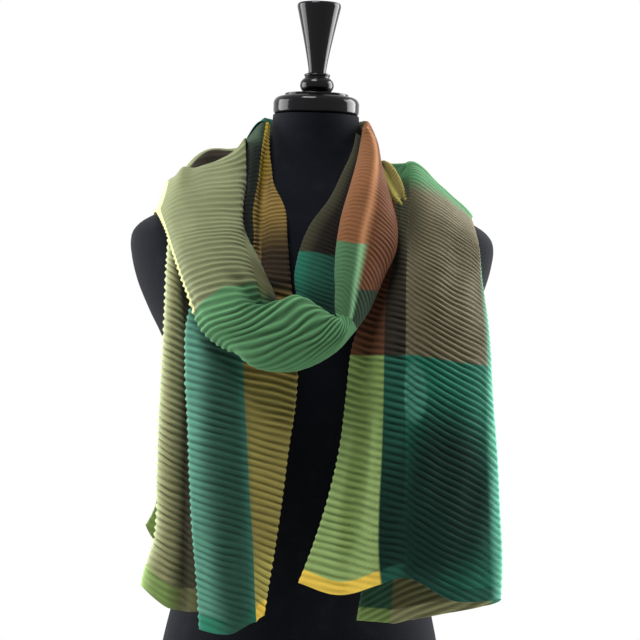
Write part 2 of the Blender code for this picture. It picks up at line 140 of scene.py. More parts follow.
# %% Waves, tables and creases
def waves(across, along, seed):
    """Smooth irregular field, mostly between -1 and 1: the sum of six sine waves of random directions.

    across and along are distances, each divided by the wavelength wanted in that direction.
    """
    random = np.random.default_rng(seed)
    total = np.zeros(np.broadcast(across, along).shape)
    for _ in range(6):
        angle, scale, start = random.uniform(0, math.pi), random.uniform(0.6, 1.5), random.uniform(0, 6.28)
        total += np.sin(6.28 * scale * (across * math.cos(angle) + along * math.sin(angle)) + start)
    return total / 3


def spread(table, place, share):
    """Values over a stretch from a table: each row is a share of its length and pairs of (line, value)."""
    shares = [row[0] for row in table]
    rows = np.array([np.interp(place, *np.array(pairs, dtype=float).T) for _, pairs in table])
    row = np.interp(share, shares, np.arange(len(shares)))
    low = row.astype(int)
    high = np.minimum(low + 1, len(shares) - 1)
    column = np.arange(len(place))
    return rows[low, column] + (row - low) * (rows[high, column] - rows[low, column])


def creased(across, along, place, crease):
    """How far a crease pushes the cloth in: depth times a bell curve of the distance from its line.

    Each row of crease is (along, line, width, depth); between rows all four change evenly. A depth below
    zero pushes the cloth out.
    """
    at, line, width, depth = np.array(crease, dtype=float).T
    here = [np.interp(along, at, values) for values in (line, width, depth)]
    away = (place - here[0]) * np.gradient(across, axis=1) / np.gradient(place)
    return here[2] * np.exp(-(away / here[1]) ** 2)


# %% [markdown]
# ## A mesh that knows where it is on the cloth
# The grid of points becomes a sheet of quads, and a Solidify modifier gives it the thickness of the cloth.
# An unwrap would have to guess what the grid already knows.

# %% Sheet mesh
WALL = 0.9              # thickness of the cloth, in millimetres


def sheet_mesh(name, points, across, cloth, hem):
    """Mesh of a grid of points, all in metres, with the values that steer its finish.

    cloth holds the line number, the distance from which colours are counted, and the height of the pleat.
    hem is the distance to the end of the cloth.
    """
    rows, columns = points.shape[:2]
    corners = np.arange((rows - 1) * columns).reshape(rows - 1, columns)[:, :-1].ravel()
    faces = np.stack((corners, corners + columns, corners + columns + 1, corners + 1), axis=1)
    mesh = bpy.data.meshes.new(name)
    mesh.from_pydata(points.reshape(-1, 3), [], faces.tolist())
    mesh.shade_smooth()
    place, distance, ridge = (np.broadcast_to(value, (rows, columns)) for value in cloth)
    store = mesh.attributes.new("cloth", "FLOAT_VECTOR", "POINT")
    store.data.foreach_set("vector", np.stack((place, distance, ridge), axis=2).astype(np.float32).ravel())
    store = mesh.attributes.new("hem", "FLOAT", "POINT")
    store.data.foreach_set("value", np.broadcast_to(hem, (rows, columns)).astype(np.float32).ravel())
    uv = np.stack((across, distance), axis=2).reshape(-1, 2)[faces.ravel()]
    mesh.uv_layers.new(name="cut").data.foreach_set("uv", uv.astype(np.float32).ravel())
    piece = bpy.data.objects.new(name, mesh)
    bpy.context.scene.collection.objects.link(piece)
    wall = piece.modifiers.new("wall", "SOLIDIFY")
    wall.thickness = WALL * MM
    wall.offset = 0.0
    folds = np.linalg.norm(np.diff(points, axis=0), axis=2).sum(axis=0).mean()
    width = np.ptp(across, axis=1).mean()
    print(f"{name}: {len(faces)} faces, {width:.2f} m across, {folds:.2f} m long laid out")
    return piece


# %% [markdown]
# ## Pleats
# Crinkle pleats could be painted with a bump map, but their shadows and the notched selvage need real
# shape. A pleat is a wave along the cloth: the surface moves along its normal by depth times a raised cosine
# of the pleat's number, taken to a power that keeps the ridges narrow and the valleys broad. The number is
# the sum of 1 / pitch up to a point, so the pitch may change along the way, as where cloth is stretched.

# %% The pleated sheet
SAMPLES = 8             # points along the cloth for each pleat
SHARPNESS = 1.7         # 1 is an even wave, and more makes the ridges narrower than the valleys
DEPTH_SHARE = 0.19      # height of a ridge over the middle of the cloth, as a share of the pitch
WANDER, WANDER_WAVES = 0.9, (60, 45)    # how far ridges stray, and over what distances across and along
UNEVEN, UNEVEN_WAVES = 0.25, (35, 22)   # by how much their depth changes, and over what distances
SWAY_WAVES = (42, 230)  # over what distances the whole cloth sways
NOTCH = 0.6             # how far a ridge stands out past the selvage
NOTCH_WIDTH = 4.0
SEAM_FADE = 10.0        # near an end that meets the next stretch, the pleats are all alike
BEFORE, PAST, STEP = 60.0, 120.0, 0.25  # pleats are counted from before the cloth to past it, in steps


def facing(points):
    """Unit normals of a grid of points: the cross product of its two directions, made 1 long."""
    normal = np.cross(np.gradient(points, axis=1), np.gradient(points, axis=0))
    return normal / np.linalg.norm(normal, axis=2, keepdims=True)


def counted(length, pitch):
    """Marks along a stretch, with the pitch and the number of the pleat at each, and the number at its end.

    The number is the running sum of step / pitch, and 0 where the stretch begins.
    """
    shares, pitches = np.array(pitch if np.ndim(pitch) else ((0, pitch),), dtype=float).T
    marks = np.arange(-BEFORE, length + PAST, STEP)
    mark_pitch = np.interp(marks / length, shares, pitches)
    number = np.cumsum(STEP / mark_pitch)
    number -= np.interp(0.0, marks, number)
    return marks, mark_pitch, number, np.interp(length, marks, number)


def pleated(name, rows, columns, pitch, strength, stop=None, before=(), after=(), lean=((0, ((0, 0),)),),
            creases=(), sway=0.0, notched=(), colour_from=0.0, outer=1, seed=1):
    """One stretch of the scarf as a mesh object: the table made smooth, plus the push of every pleat.

    columns[i] equal steps lead from line i to line i + 1. stop and colour_from are distances along the
    cloth, one for all lines or one each. before and after are the next rows of the neighbouring stretches.
    pitch is one number, or pairs of (share of the length, pitch). strength and lean are tables for spread:
    how high the pleats are, and how far each line's pleats are shifted along the cloth. notched lists the
    selvages: 0 is the first line and 1 the last. outer is 1 where the lines run to the left as one looks
    at the outer side with the rows going down, and -1 where they run to the right.
    """
    stop = cloth_length(rows) if stop is None else stop
    lead = cloth_length((*before, rows[0])) if before else 0.0
    table = np.array((*before, *rows, *after), dtype=float)
    lines = table.shape[1]
    place = np.concatenate([i + np.arange(count) / count for i, count in enumerate(columns)] + [[lines - 1]])
    end, origin = (between_lines(value, lines, place) for value in (stop, colour_from))
    marks, mark_pitch, mark_number, total = counted(np.mean(stop), pitch)
    pleats = max(2, round(total))
    share = np.linspace(0.0, 1.0, SAMPLES * pleats + 1)[:, None]
    along = end * share
    points = across_lines(along_lines(table, along + lead), place)
    widths = np.linalg.norm(np.diff(points, axis=1), axis=2)
    across = np.concatenate((np.zeros((len(share), 1)), np.cumsum(widths, axis=1)), axis=1)
    fade_in = np.clip(along / SEAM_FADE, 0, 1) if before else 1.0
    fade_out = np.clip((end - along) / SEAM_FADE, 0, 1) if after else 1.0
    free = fade_in * fade_out

    def field(wavelengths, turn):
        """Waves of their own, gone at the seams. wavelengths are those across and along the cloth."""
        return waves(across / wavelengths[0], along / wavelengths[1], seed + turn) * free

    position = along - spread(lean, place, share) + WANDER * field(WANDER_WAVES, 0)
    number = np.interp(position, marks, mark_number) * (round(total) / total if after else 1.0)
    ridge = 2 * (0.5 - 0.5 * np.cos(2 * math.pi * number)) ** SHARPNESS - 1
    ridge *= spread(strength, place, share) * (1 + UNEVEN * field(UNEVEN_WAVES, 1))
    push = DEPTH_SHARE * np.interp(position, marks, mark_pitch) * ridge + sway * field(SWAY_WAVES, 2)
    for crease in creases:
        push -= creased(across, along, place, crease) * free
    sideways = np.gradient(points, axis=1)
    sideways /= np.linalg.norm(sideways, axis=2, keepdims=True)
    points = points + facing(points) * outer * push[..., None]
    for side in notched:
        inward = across if side == 0 else across[:, -1:] - across
        reach = NOTCH * ridge * np.exp(-inward / NOTCH_WIDTH) * (-1 if side == 0 else 1)
        points += sideways * reach[..., None]
    cloth = (place, (along - origin) * MM, ridge)
    return sheet_mesh(name, points * MM, across * MM, cloth, (end - along) * MM)


# %% [markdown]
# ## Materials written as arithmetic
# A node tree is a formula, so it reads best as one. The class below wraps a node's output and overloads the
# operators: `1 - mask * 0.5` adds a Multiply and a Subtract node and joins them. Colours are mixed with Mix
# nodes, because a Math node would turn them grey.

# %% Nodes as arithmetic
class Wire:
    """The output of a node. Arithmetic on it adds Math nodes to its tree."""

    def __init__(self, nodes, socket):
        self.nodes = nodes
        self.socket = socket

    def __add__(self, other):
        return self.nodes.maths("ADD", self, other)

    def __sub__(self, other):
        return self.nodes.maths("SUBTRACT", self, other)

    def __rsub__(self, other):
        return self.nodes.maths("SUBTRACT", other, self)

    def __mul__(self, other):
        return self.nodes.maths("MULTIPLY", self, other)

    def __truediv__(self, other):
        return self.nodes.maths("DIVIDE", self, other)

    def __pow__(self, other):
        return self.nodes.maths("POWER", self, other)

    __radd__ = __add__
    __rmul__ = __mul__


class Nodes:
    """A node tree in the making, for a material or for the world."""

    def __init__(self, tree):
        self.tree = tree

    def feed(self, node, values):
        """Set or link the sockets of a node by name or number."""
        for name, value in values.items():
            if isinstance(value, Wire):
                self.tree.links.new(value.socket, node.inputs[name])
            else:
                node.inputs[name].default_value = value

    def node(self, kind, inputs, output=0, **settings):
        """Add a node with its settings, feed it, and return one of its outputs."""
        node = self.tree.nodes.new(kind)
        for name, value in settings.items():
            setattr(node, name, value)
        self.feed(node, inputs)
        return Wire(self, node.outputs[output])

    def maths(self, operation, *values):
        """One Math node, fed with values in their order."""
        return self.node("ShaderNodeMath", dict(enumerate(values)), operation=operation)

    def mix(self, share, low, high, way="MIX"):
        """Colour between low and high at a share of the way, or low blended with high in another way."""
        return self.node("ShaderNodeMix", {0: share, 6: low, 7: high}, 2, data_type="RGBA", blend_type=way)

    def step(self, value, edge, soft):
        """0 below the edge and 1 above it, with a change between that is soft on either side."""
        limits = {"Value": value, "From Min": edge - soft, "From Max": edge + soft}
        return self.node("ShaderNodeMapRange", limits, interpolation_type="SMOOTHSTEP")

    def noise(self, where, scale, detail=2.0):
        """Cloudy values round 0.5. scale is one number, or one for each direction of where."""
        if isinstance(scale, tuple):
            where = self.node("ShaderNodeVectorMath", {0: where, 1: scale}, operation="MULTIPLY")
            scale = 1.0
        return self.node("ShaderNodeTexNoise", {"Vector": where, "Scale": scale, "Detail": detail})


class Finish(Nodes):
    """A material: one Principled shader and the nodes that feed it."""

    def __init__(self, name, plain):
        self.material = bpy.data.materials.new(name)
        self.material.use_nodes = True
        super().__init__(self.material.node_tree)
        self.shader = self.tree.nodes["Principled BSDF"]
        self.feed(self.shader, plain)

    def bump(self, height, distance):
        """Tilt the surface as if it rose by distance, in metres, where height goes from 0 to 1."""
        normal = self.node("ShaderNodeBump", {"Height": height, "Distance": distance})
        self.feed(self.shader, {"Normal": normal})


def shade(red, green, blue):
    """A colour given as on a screen, 0 to 255, in the linear values that a shader takes.

    The curve is ((share + 0.055) / 1.055) to the power 2.4, with a straight line near black.
    """
    shares = np.array((red, green, blue)) / 255
    linear = np.where(shares < 0.04045, shares / 12.92, ((shares + 0.055) / 1.055) ** 2.4)
    return (*linear.tolist(), 1.0)


# %% [markdown]
# ## The finish of the cloth
# The cloth is woven in a large check: a stripe along one selvage, a field beside it, and rows across both.
# The colours could sit in an image, but a formula stays sharp at any size. On top of the shade that the real
# pleats cast, each ridge gets a painted highlight and each valley gets painted shade, so the pleats read
# stronger.
# The threads themselves are fine streaks in both directions that carry a small bump.

# %% Woven check
CLOTH = {"Sheen Weight": 0.10, "Sheen Roughness": 0.5, "Specular IOR Level": 0.10}
THREAD_RUN, THREAD_COUNT = 160, 1500    # how often a streak changes along and across its thread, per metre
THREAD_BUMP = 0.0006
RAGGED = 0.004          # how far a colour edge strays from thread to thread, in metres
# The paler tint makes faint clouds of paler tone and is also the painted highlight on the ridges; the deeper
# tint is painted shade in the valleys.
PALER_TONE_AND_RIDGE_HIGHLIGHT = (1.6, 1.6, 1.55, 1.0)           # what the colour of the yarn is multiplied by
PAINTED_VALLEY_SHADE = (0.26, 0.27, 0.25, 1.0)
DULLER = (0.7, 0.7, 0.7, 1.0)


def woven(piece, name, colours, lines=(), lengths=(), hem=None, patches=(), edge=0.02):
    """Dress a piece in a check. colours[i][j] lies past i of the lengths, in metres, and past j of the lines.

    A length is (distance, softness). hem is (width, its colours). patches are ovals of another colour:
    (line, distance, half its width in lines, half its length, colour, softness of its edge).
    """
    finish = Finish(name, CLOTH)
    cut = finish.node("ShaderNodeUVMap", {}, uv_map="cut")
    cloth = finish.node("ShaderNodeAttribute", {}, 1, attribute_name="cloth")
    line, distance, ridge = (finish.node("ShaderNodeSeparateXYZ", {0: cloth}, i) for i in range(3))
    weft = finish.noise(cut, (THREAD_RUN, THREAD_COUNT, 0))
    warp = finish.noise(cut, (THREAD_COUNT, THREAD_RUN, 0))
    weave = (weft + warp) * 0.5

    def across(row):
        """Colours of one row, from line to line."""
        colour = row[0]
        for limit, next_colour in zip(lines, row[1:]):
            colour = finish.mix(finish.step(line, limit, edge), colour, next_colour)
        return colour

    ragged = (warp - 0.5) * RAGGED
    colour = across(colours[0])
    for (limit, soft), row in zip(lengths, colours[1:]):
        colour = finish.mix(finish.step(distance + ragged, limit, soft), colour, across(row))
    if hem:
        to_end = finish.node("ShaderNodeAttribute", {}, 2, attribute_name="hem")
        colour = finish.mix(1 - finish.step(to_end + ragged, hem[0], 0.001), colour, across(hem[1]))
    for middle, at, half_width, half_length, patch, soft in patches:
        oval = ((line - middle) / half_width) ** 2 + ((distance - at) / half_length) ** 2
        colour = finish.mix(1 - finish.step(oval, 1.0, soft), colour, patch)
    # Each row: what the shading follows, from which value, how softly, how strong it is, and its tint.
    shading = (
        (finish.noise(cut, 30, 3.0), 0.55, 0.25, 0.2, PALER_TONE_AND_RIDGE_HIGHLIGHT),       # faint clouds of wear
        # Painted light: the ridge row paints a highlight on every ridge, and the valley row paints shade in
        # every valley.
        (ridge, 0.75, 0.5, 0.6, PALER_TONE_AND_RIDGE_HIGHLIGHT),
        (0 - ridge, 0.3, 0.7, 0.55, PAINTED_VALLEY_SHADE),                        # the valleys
        (weave, 0.5, 0.3, 0.25, DULLER),
    )
    for value, limit, soft, share, tint in shading:
        colour = finish.mix(finish.step(value, limit, soft) * share, colour, tint, "MULTIPLY")
    finish.feed(finish.shader, {"Base Color": colour, "Roughness": 0.78 + weave * 0.2})
    finish.bump(weave, THREAD_BUMP)
    piece.data.materials.append(finish.material)
    print(f"{name}: {len(colours)} rows of {len(colours[0])} colours")

# %% [markdown]
# ## The colours of the yarn
# Every stretch takes its colours from one list, which keeps the stretches alike where each could be mixed
# by eye. The plain ones are the colours of the cloth in plain light, a little paler than they look where
# pleats shade them. The ones named as painted shade or painted highlight are no other yarns: they are darker
# and paler copies of the yarns, painted where a fold lies in shade or faces the lamps.

# %% Yarns
BROWN = shade(103, 97, 75)
DARK_BROWN_IN_PAINTED_SHADE = shade(44, 38, 30)
PAINTED_DEEP_SHADE_BROWN = shade(24, 20, 16)
ORANGE_IN_PAINTED_SHADE = shade(94, 60, 40)
DARK_RUST = shade(46, 36, 24)
TEAL = shade(44, 124, 98)
MIST_TEAL = shade(86, 142, 121)
PAINTED_HALF_SHADE_TEAL = shade(46, 84, 70)
DULL_TEAL = shade(36, 108, 87)
GREY_TEAL = shade(66, 128, 108)
BRIGHT_TEAL = shade(98, 178, 150)
DEEP_TEAL = shade(34, 86, 71)
PAINTED_SHADE_TEAL = shade(18, 48, 40)
PAINTED_HIGHLIGHT_ORANGE = shade(184, 130, 90)
DULL_ORANGE = shade(122, 80, 50)
PAINTED_SHADE_ORANGE = shade(96, 57, 31)
SAGE = shade(122, 128, 93)
PAINTED_HIGHLIGHT_SAGE = shade(178, 186, 142)
GREEN = shade(86, 136, 92)
SHOULDER_GREEN = shade(70, 120, 78)
PAINTED_HIGHLIGHT_GREEN = shade(136, 188, 140)
DULL_GREEN = shade(70, 108, 74)
SHADY_GREEN = shade(50, 88, 58)
PAINTED_SHADE_GREEN = shade(34, 54, 36)
PAINTED_DEEP_SHADE_GREEN = shade(12, 20, 14)
LIME = shade(128, 154, 88)
PAINTED_HIGHLIGHT_LIME = shade(156, 184, 114)
YELLOW = shade(252, 214, 88)
PALE_YELLOW = shade(206, 208, 150)
GOLD = shade(146, 136, 74)
PALE_GOLD = shade(180, 172, 92)
PALE_AMBER = shade(166, 140, 46)
AMBER = shade(126, 105, 44)
TAN = shade(134, 110, 58)
DEEP_TAN = shade(104, 86, 50)
OLIVE = shade(150, 150, 108)
DULL_OLIVE = shade(94, 94, 62)
MOSS = shade(46, 80, 60)
PAINTED_SHADE_OLIVE = shade(58, 56, 40)

# %% [markdown]
# ## The right tail
# This end hangs from the shoulder almost flat: a striped edge, a dark stripe with a crease beside it, and a
# broad field that folds back behind itself at its outer edge. The pleats run down to the right, more
# steeply on the field than on the striped edge, and the cut end slants with them. A folded sheet has no
# simple formula, so its rows are given one by one: (x, y, z) in millimetres for every line.

# %% Right tail
# Lines: inner edge, stripe middle, stripe line, crease, belly, outer fold, return middle, return edge.
TAIL_RIGHT = (
    ((80, -20, 662), (85, -20, 663), (90, -20, 666), (101, -20, 679), (138, -17, 655), (169, -16, 624),
     (151, -12, 630), (114, -10, 652)),
    ((84, -52, 644), (88, -54, 643), (93, -58, 642), (102, -70, 641), (139, -74, 625), (174, -64, 599),
     (153, -63, 603), (122, -72, 612)),
    ((80, -86, 597), (84, -87, 596), (89, -90, 594), (100, -106, 590), (143, -102, 571), (181, -76, 550),
     (150, -82, 530), (116, -98, 520)),
    ((64, -107, 543), (70, -108, 541), (80, -114, 538), (100, -126, 535), (146, -124, 516), (188, -92, 495),
     (142, -96, 468), (108, -99, 442)),
    ((45, -129, 485), (60, -130, 482), (79, -136, 480), (101, -141, 478), (150, -135, 459), (193, -104, 438),
     (135, -107, 404), (92, -108, 366)),
    ((40, -134, 433), (58, -137, 429), (80, -143, 427), (102, -148, 425), (152, -140, 406), (198, -112, 385),
     (107, -112, 331), (78, -111, 310)),
    ((35, -134, 379), (55, -139, 375), (80, -147, 372), (104, -151, 370), (154, -141, 351), (202, -116, 330),
     (101, -113, 274), (66, -111, 252)),
    ((24, -136, 325), (49, -141, 320), (79, -149, 317), (104, -152, 315), (155, -144, 296), (205, -118, 275),
     (98, -114, 219), (58, -111, 196)),
    ((8, -138, 271), (44, -142, 265), (81, -150, 262), (106, -153, 260), (156, -145, 241), (206, -120, 220),
     (97, -114, 163), (54, -111, 142)),
    ((-12, -140, 217), (38, -144, 211), (90, -151, 208), (110, -154, 205), (157, -146, 186), (207, -121, 165),
     (97, -115, 108), (52, -111, 88)),
)
SHOULDERS = (
    TAIL_RIGHT[0],
    ((76, 28, 666), (80, 29, 670), (86, 30, 674), (98, 30, 683), (134, 33, 655), (170, 31, 625),
     (148, 25, 630), (110, 20, 650)),
    ((58, 64, 668), (61, 68, 674), (65, 72, 680), (73, 77, 685), (102, 86, 648), (131, 82, 603),
     (112, 71, 611), (86, 68, 630)),
    ((0, 72, 674), (0, 75, 682), (0, 79, 689), (0, 84, 695), (0, 98, 655), (0, 104, 604),
     (0, 93, 598), (0, 86, 636)),
    ((-57, 62, 680), (-60, 67, 687), (-65, 71, 692), (-72, 76, 695), (-104, 86, 662), (-136, 80, 618),
     (-139, 76, 603), (-126, 73, 595)),
    ((-75, 32, 688), (-77, 34, 691), (-81, 35, 692), (-86, 36, 691), (-116, 38, 682), (-147, 38, 655),
     (-168, 37, 640), (-173, 36, 619)),
)
pitch = ((0, 4.6), (0.2, 4.9), (0.38, 6.3), (0.48, 7.3), (0.57, 7.8), (1, 7.6))
strength = (
    (0, ((0, 0.8), (2.8, 0.5), (3.3, 0.3), (4.7, 0.3), (5, 0.2), (5.3, 0.6), (7, 0.8))),
    (0.35, ((0, 0.7), (2.8, 0.6), (3.3, 0.7), (4.7, 0.7), (5, 0.15), (5.3, 0.6), (7, 0.8))),
    (0.6, ((0, 0.5), (1.8, 0.5), (2.4, 0.8), (3.3, 0.8), (4.7, 0.7), (5, 0.15), (5.3, 0.6), (7, 0.8))),
    (0.9, ((0, 0.6), (2.4, 0.6), (3.3, 0.5), (4.7, 0.5), (5, 0.15), (5.3, 0.7), (7, 0.8))),
    (0.97, ((0, 0.5), (4.7, 0.5), (5, 0.15), (5.3, 0.8), (7, 0.6))),
    (1, ((0, 0.15), (1.8, 0.15), (2.4, 0.4), (4.7, 0.4), (5, 0.15), (5.3, 0.8), (7, 0.3))),
)
lean = (
    (0, ((0, 0),)),
    (0.1, ((3, 0), (3.3, 4), (3.6, 5), (4, 6), (4.5, 9), (4.8, 12), (5, 11), (5.3, 3))),
    (0.5, ((0, -1), (1, 0), (2, 1), (3, 3), (3.2, 8), (3.6, 11), (4, 12), (4.5, 16), (4.8, 20), (5, 20),
           (5.3, 10))),
    (0.7, ((0, -2), (1, 0), (2, 3), (3, 7), (3.2, 13), (3.6, 16), (4, 17), (4.5, 21), (4.8, 25), (5, 25),
           (5.3, 14))),
)
creases = (
    ((0, 2.7, 6, 3), (150, 2.7, 6, 2.5), (300, 2.8, 6, 1.5), (400, 2.8, 5, 0)),
    ((230, 1.1, 8, 0), (320, 1.1, 8, 5), (500, 1.1, 12, 5)),
    ((250, 1.75, 8, 0), (330, 1.75, 9, -3), (500, 1.75, 12, -4)),
    ((180, 3.9, 16, 0), (240, 3.7, 16, -1.5), (300, 3.35, 14, -2), (350, 3.1, 12, -1.5), (400, 3, 10, 0)),
)
right_hem = hem_places(TAIL_RIGHT, (240, 229, 243, 250, 227, 228, 198, 200))
row_edge = hem_places(TAIL_RIGHT, (475, 475, 476, 477, 471, 463, 430, 400))
tail_right = pleated("tail_right_cloth", TAIL_RIGHT, (9, 9, 8, 11, 14, 14, 12), pitch, strength,
                     stop=right_hem, before=(SHOULDERS[1],), lean=lean, creases=creases, sway=0.8,
                     notched=(0,), colour_from=row_edge, outer=-1, seed=3)

# %% [markdown]
# Stripes follow the selvage and rows follow the pleats, so stripes are lines and rows are distances. The
# distances are counted from the edge between the brown and the teal row, which slants like the pleats.
# Patches are painted shade and painted light: a deeper colour where a fold lies in shade, a paler one where
# the cloth faces the lamps.

# %% Check of the right tail
FIELD = (DULL_TEAL, DULL_TEAL, DULL_OLIVE, MOSS)
# The second row darkens the orange band and the dark stripe as painted shade under the limb; in the last row
# the lime stripe is paler, painted light, and the dark stripe darker, painted shade.
woven(tail_right, "right_tail_check", (
    (LIME, SHOULDER_GREEN, SHOULDER_GREEN, SHOULDER_GREEN, BROWN, BROWN),
    (ORANGE_IN_PAINTED_SHADE, DARK_BROWN_IN_PAINTED_SHADE, BROWN, BROWN, BROWN, BROWN),
    (LIME, DEEP_TEAL, *FIELD),
    (PAINTED_HIGHLIGHT_LIME, PAINTED_SHADE_TEAL, *FIELD),
), (1.95, 2.95, 4.85, 5.25, 6.1), ((-0.208, 0.012), (0.0, 0.0012), (0.10, 0.07)),
    hem=(0.014, (YELLOW, DEEP_TEAL, DEEP_TEAL, DEEP_TEAL, OLIVE, LIME)),
    # Patches, in order: a painted shadow over the lower field, a painted rim light along the outer fold,
    # painted shade low by the crease, painted light just right of the crease, painted shade in a channel of
    # the lime stripe, and painted shade on the shoulder fold and under the limb.
    patches=((3.8, 0.145, 1.0, 0.09, PAINTED_SHADE_TEAL, 0.75), (5.0, 0.1, 0.3, 0.22, BRIGHT_TEAL, 0.8),
             (3.3, 0.19, 0.6, 0.045, PAINTED_SHADE_TEAL, 0.8), (3.15, 0.04, 0.25, 0.032, GREY_TEAL, 0.4),
             (1.0, 0.12, 0.45, 0.09, LIME, 0.8), (1.9, -0.20, 1.0, 0.045, PAINTED_SHADE_GREEN, 0.8),
             (2.6, -0.165, 0.8, 0.05, PAINTED_SHADE_OLIVE, 0.9)), edge=0.04)

# %% [markdown]
# ## Over the shoulders
# The same cloth runs up over the right shoulder, behind the neck and down to the left shoulder. It has the
# same lines as the tail, and its first row is the tail's, so the two meet with one slope. The loop that
# follows has fewer lines, and its first row takes the points of the ones that it shares.

# %% Shoulders and nape
LIMB = (
    ((35, -151, 515), (27, -160, 518), (42, -164, 512), (49, -152, 503), (50, -143, 507)),
    ((35, -142, 536), (26, -150, 541), (46, -156, 543), (63, -136, 525), (60, -126, 521)),
    ((34, -130, 557), (25, -141, 561), (50, -147, 570), (74, -122, 553), (69, -114, 549)),
    ((36, -116, 584), (26, -128, 588), (54, -134, 601), (86, -110, 583), (80, -104, 579)),
    ((39, -100, 613), (30, -112, 617), (60, -118, 629), (87, -93, 612), (82, -85, 608)),
    ((47, -80, 645), (38, -92, 649), (64, -97, 660), (77, -70, 643), (71, -64, 640)),
    ((52, -56, 674), (45, -66, 678), (65, -68, 688), (69, -46, 674), (66, -38, 671)),
    ((55, -36, 698), (49, -44, 701), (61, -45, 708), (65, -28, 698), (62, -21, 695)),
    ((55, -20, 712), (51, -27, 716), (55, -26, 719), (61, -13, 713), (60, -8, 708)),
)


def pick(row, *lines):
    """The points of a row at the given lines, for a neighbour with other lines."""
    return tuple(row[line] for line in lines)


LOOP = (
    pick(SHOULDERS[-1], 7, 5, 4, 3, 0),
    ((-169, -4, 622), (-151, -4, 656), (-117, -2, 687), (-89, -6, 690), (-73, -6, 697)),
    ((-169, -24, 621), (-153, -26, 656), (-118, -23, 656), (-90, -24, 672), (-73, -22, 699)),
    ((-167, -48, 620), (-153, -50, 652), (-121, -49, 669), (-91, -48, 682), (-74, -42, 700)),
    ((-163, -73, 616), (-154, -80, 632), (-118, -85, 646), (-77, -79, 652), (-71, -67, 651)),
    ((-153, -94, 598), (-147, -102, 603), (-110, -113, 612), (-73, -105, 612), (-75, -92, 610)),
    ((-142, -116, 570), (-136, -124, 575), (-104, -133, 584), (-67, -128, 582), (-55, -120, 572)),
    ((-128, -134, 536), (-122, -142, 541), (-88, -151, 553), (-56, -145, 552), (-39, -132, 541)),
    ((-107, -152, 493), (-101, -158, 499), (-72, -169, 515), (-38, -162, 527), (-24, -145, 520)),
    ((-82, -149, 476), (-80, -158, 480), (-47, -173, 499), (-13, -165, 534), (-2, -149, 527)),
    ((-48, -144, 469), (-54, -158, 460), (-19, -175, 494), (5, -166, 525), (14, -151, 518)),
    ((-2, -144, 469), (-6, -158, 459), (12, -174, 488), (22, -167, 515), (26, -153, 509)),
    ((28, -146, 484), (28, -157, 478), (35, -170, 496), (32, -167, 512), (36, -155, 508)),
    LIMB[0][::-1],
)
strength = (
    (0, ((0, 1), (4.8, 1), (5.0, 0.7), (5.3, 1), (7, 1))),
    (0.8, ((0, 1),)),
    (1, ((0, 0.33),)),
)
shoulders = pleated("shoulders_cloth", SHOULDERS, (4, 4, 6, 18, 18, 12, 14), 6.0, strength,
                    before=(TAIL_RIGHT[1],), after=(pick(LOOP[1], 4, 4, 3, 3, 2, 1, 1, 0),), sway=0.6,
                    notched=(0, 1), seed=5)
# The first two colours of the first row are painted shade on the front of the shoulder fold.
woven(shoulders, "shoulder_check", (
    (PAINTED_SHADE_GREEN, SHADY_GREEN, SHOULDER_GREEN, BROWN),
    (LIME, SHOULDER_GREEN, SHOULDER_GREEN, BROWN),
    (SAGE, SAGE, SAGE, BRIGHT_TEAL),
), (1.95, 2.85, 5.6), ((0.13, 0.001), (0.37, 0.001)))

# %% [markdown]
# ## The loop on the chest
# The cloth comes over the left shoulder, where its top edge stands open as a pocket, runs down the chest,
# turns along under the neck and rises to a twist. Its pleats fan out from the twist like the ribs of a
# shell. The cloth that turns under at the bottom is pulled smooth. The fan could be a table of its own for
# every pleat, but a lean that grows towards the twist turns even pleats into one.

# %% Loop
pitch = ((0, 5), (0.25, 6.3), (0.62, 6.5), (0.71, 6.3), (0.8, 5.2), (0.9, 4.6), (1, 4.2))
strength = (
    (0, ((0, 0.4),)),
    (0.2, ((0, 0.3), (1, 0.08), (2, 0.1), (2.6, 0.25), (3, 0.45), (3.5, 0.4), (4, 0.3))),
    (0.5, ((0, 0.4), (0.5, 0.15), (1, 0.12), (1.6, 0.2), (2.3, 0.35), (3, 0.55), (4, 0.4))),
    (0.62, ((0, 0.7), (1, 0.4), (2, 0.45), (3, 0.6))),
    (0.75, ((0, 0.6), (1, 0.5), (2, 0.85), (3, 0.8))),
    (0.88, ((0, 0.15), (0.8, 0.15), (1.3, 0.5), (2, 0.9), (3, 0.8), (4, 0.6))),
    (1, ((0, 0.1), (1, 0.2), (2, 0.45), (3, 0.45), (4, 0.3))),
)
lean = (
    (0.40, ((0, 0),)),
    (0.50, ((0, 0), (3, -3), (4, 10))),
    (0.59, ((0, 0), (3, -2), (3.5, 8), (4, 16))),
    (0.69, ((1, 0), (2, 4), (3, 2), (4, 6))),
    (0.756, ((1, 0), (2, 6), (3, 16), (4, 18))),
    (0.82, ((1, 6), (2, 22), (3, 34), (4, 36))),
    (0.896, ((1, 14), (2, 38), (3, 54), (4, 56))),
    (0.952, ((1, 20), (2, 44), (3, 62), (4, 64))),
    (1, ((0, 30), (1, 32), (2, 56), (3, 76), (4, 78))),
)
creases = (
    ((41, 2.3, 16, 0), (52, 2.35, 16, 6), (65, 2.35, 16, 12), (80, 2.3, 12, 4), (95, 2.3, 10, 0)),
    ((60, 1.5, 8, 0), (76, 1.55, 8, -4), (89, 1.55, 8, -7), (105, 1.5, 8, -4), (130, 1.5, 8, 0)),
    ((245, 2.3, 11, 0), (262, 2.45, 12, 8), (282, 2.75, 12, 10), (300, 3, 9, 5), (315, 3.2, 8, 0)),
)
loop_turn = cloth_length(LOOP[:8])      # where the cloth turns from the side of the chest to its front
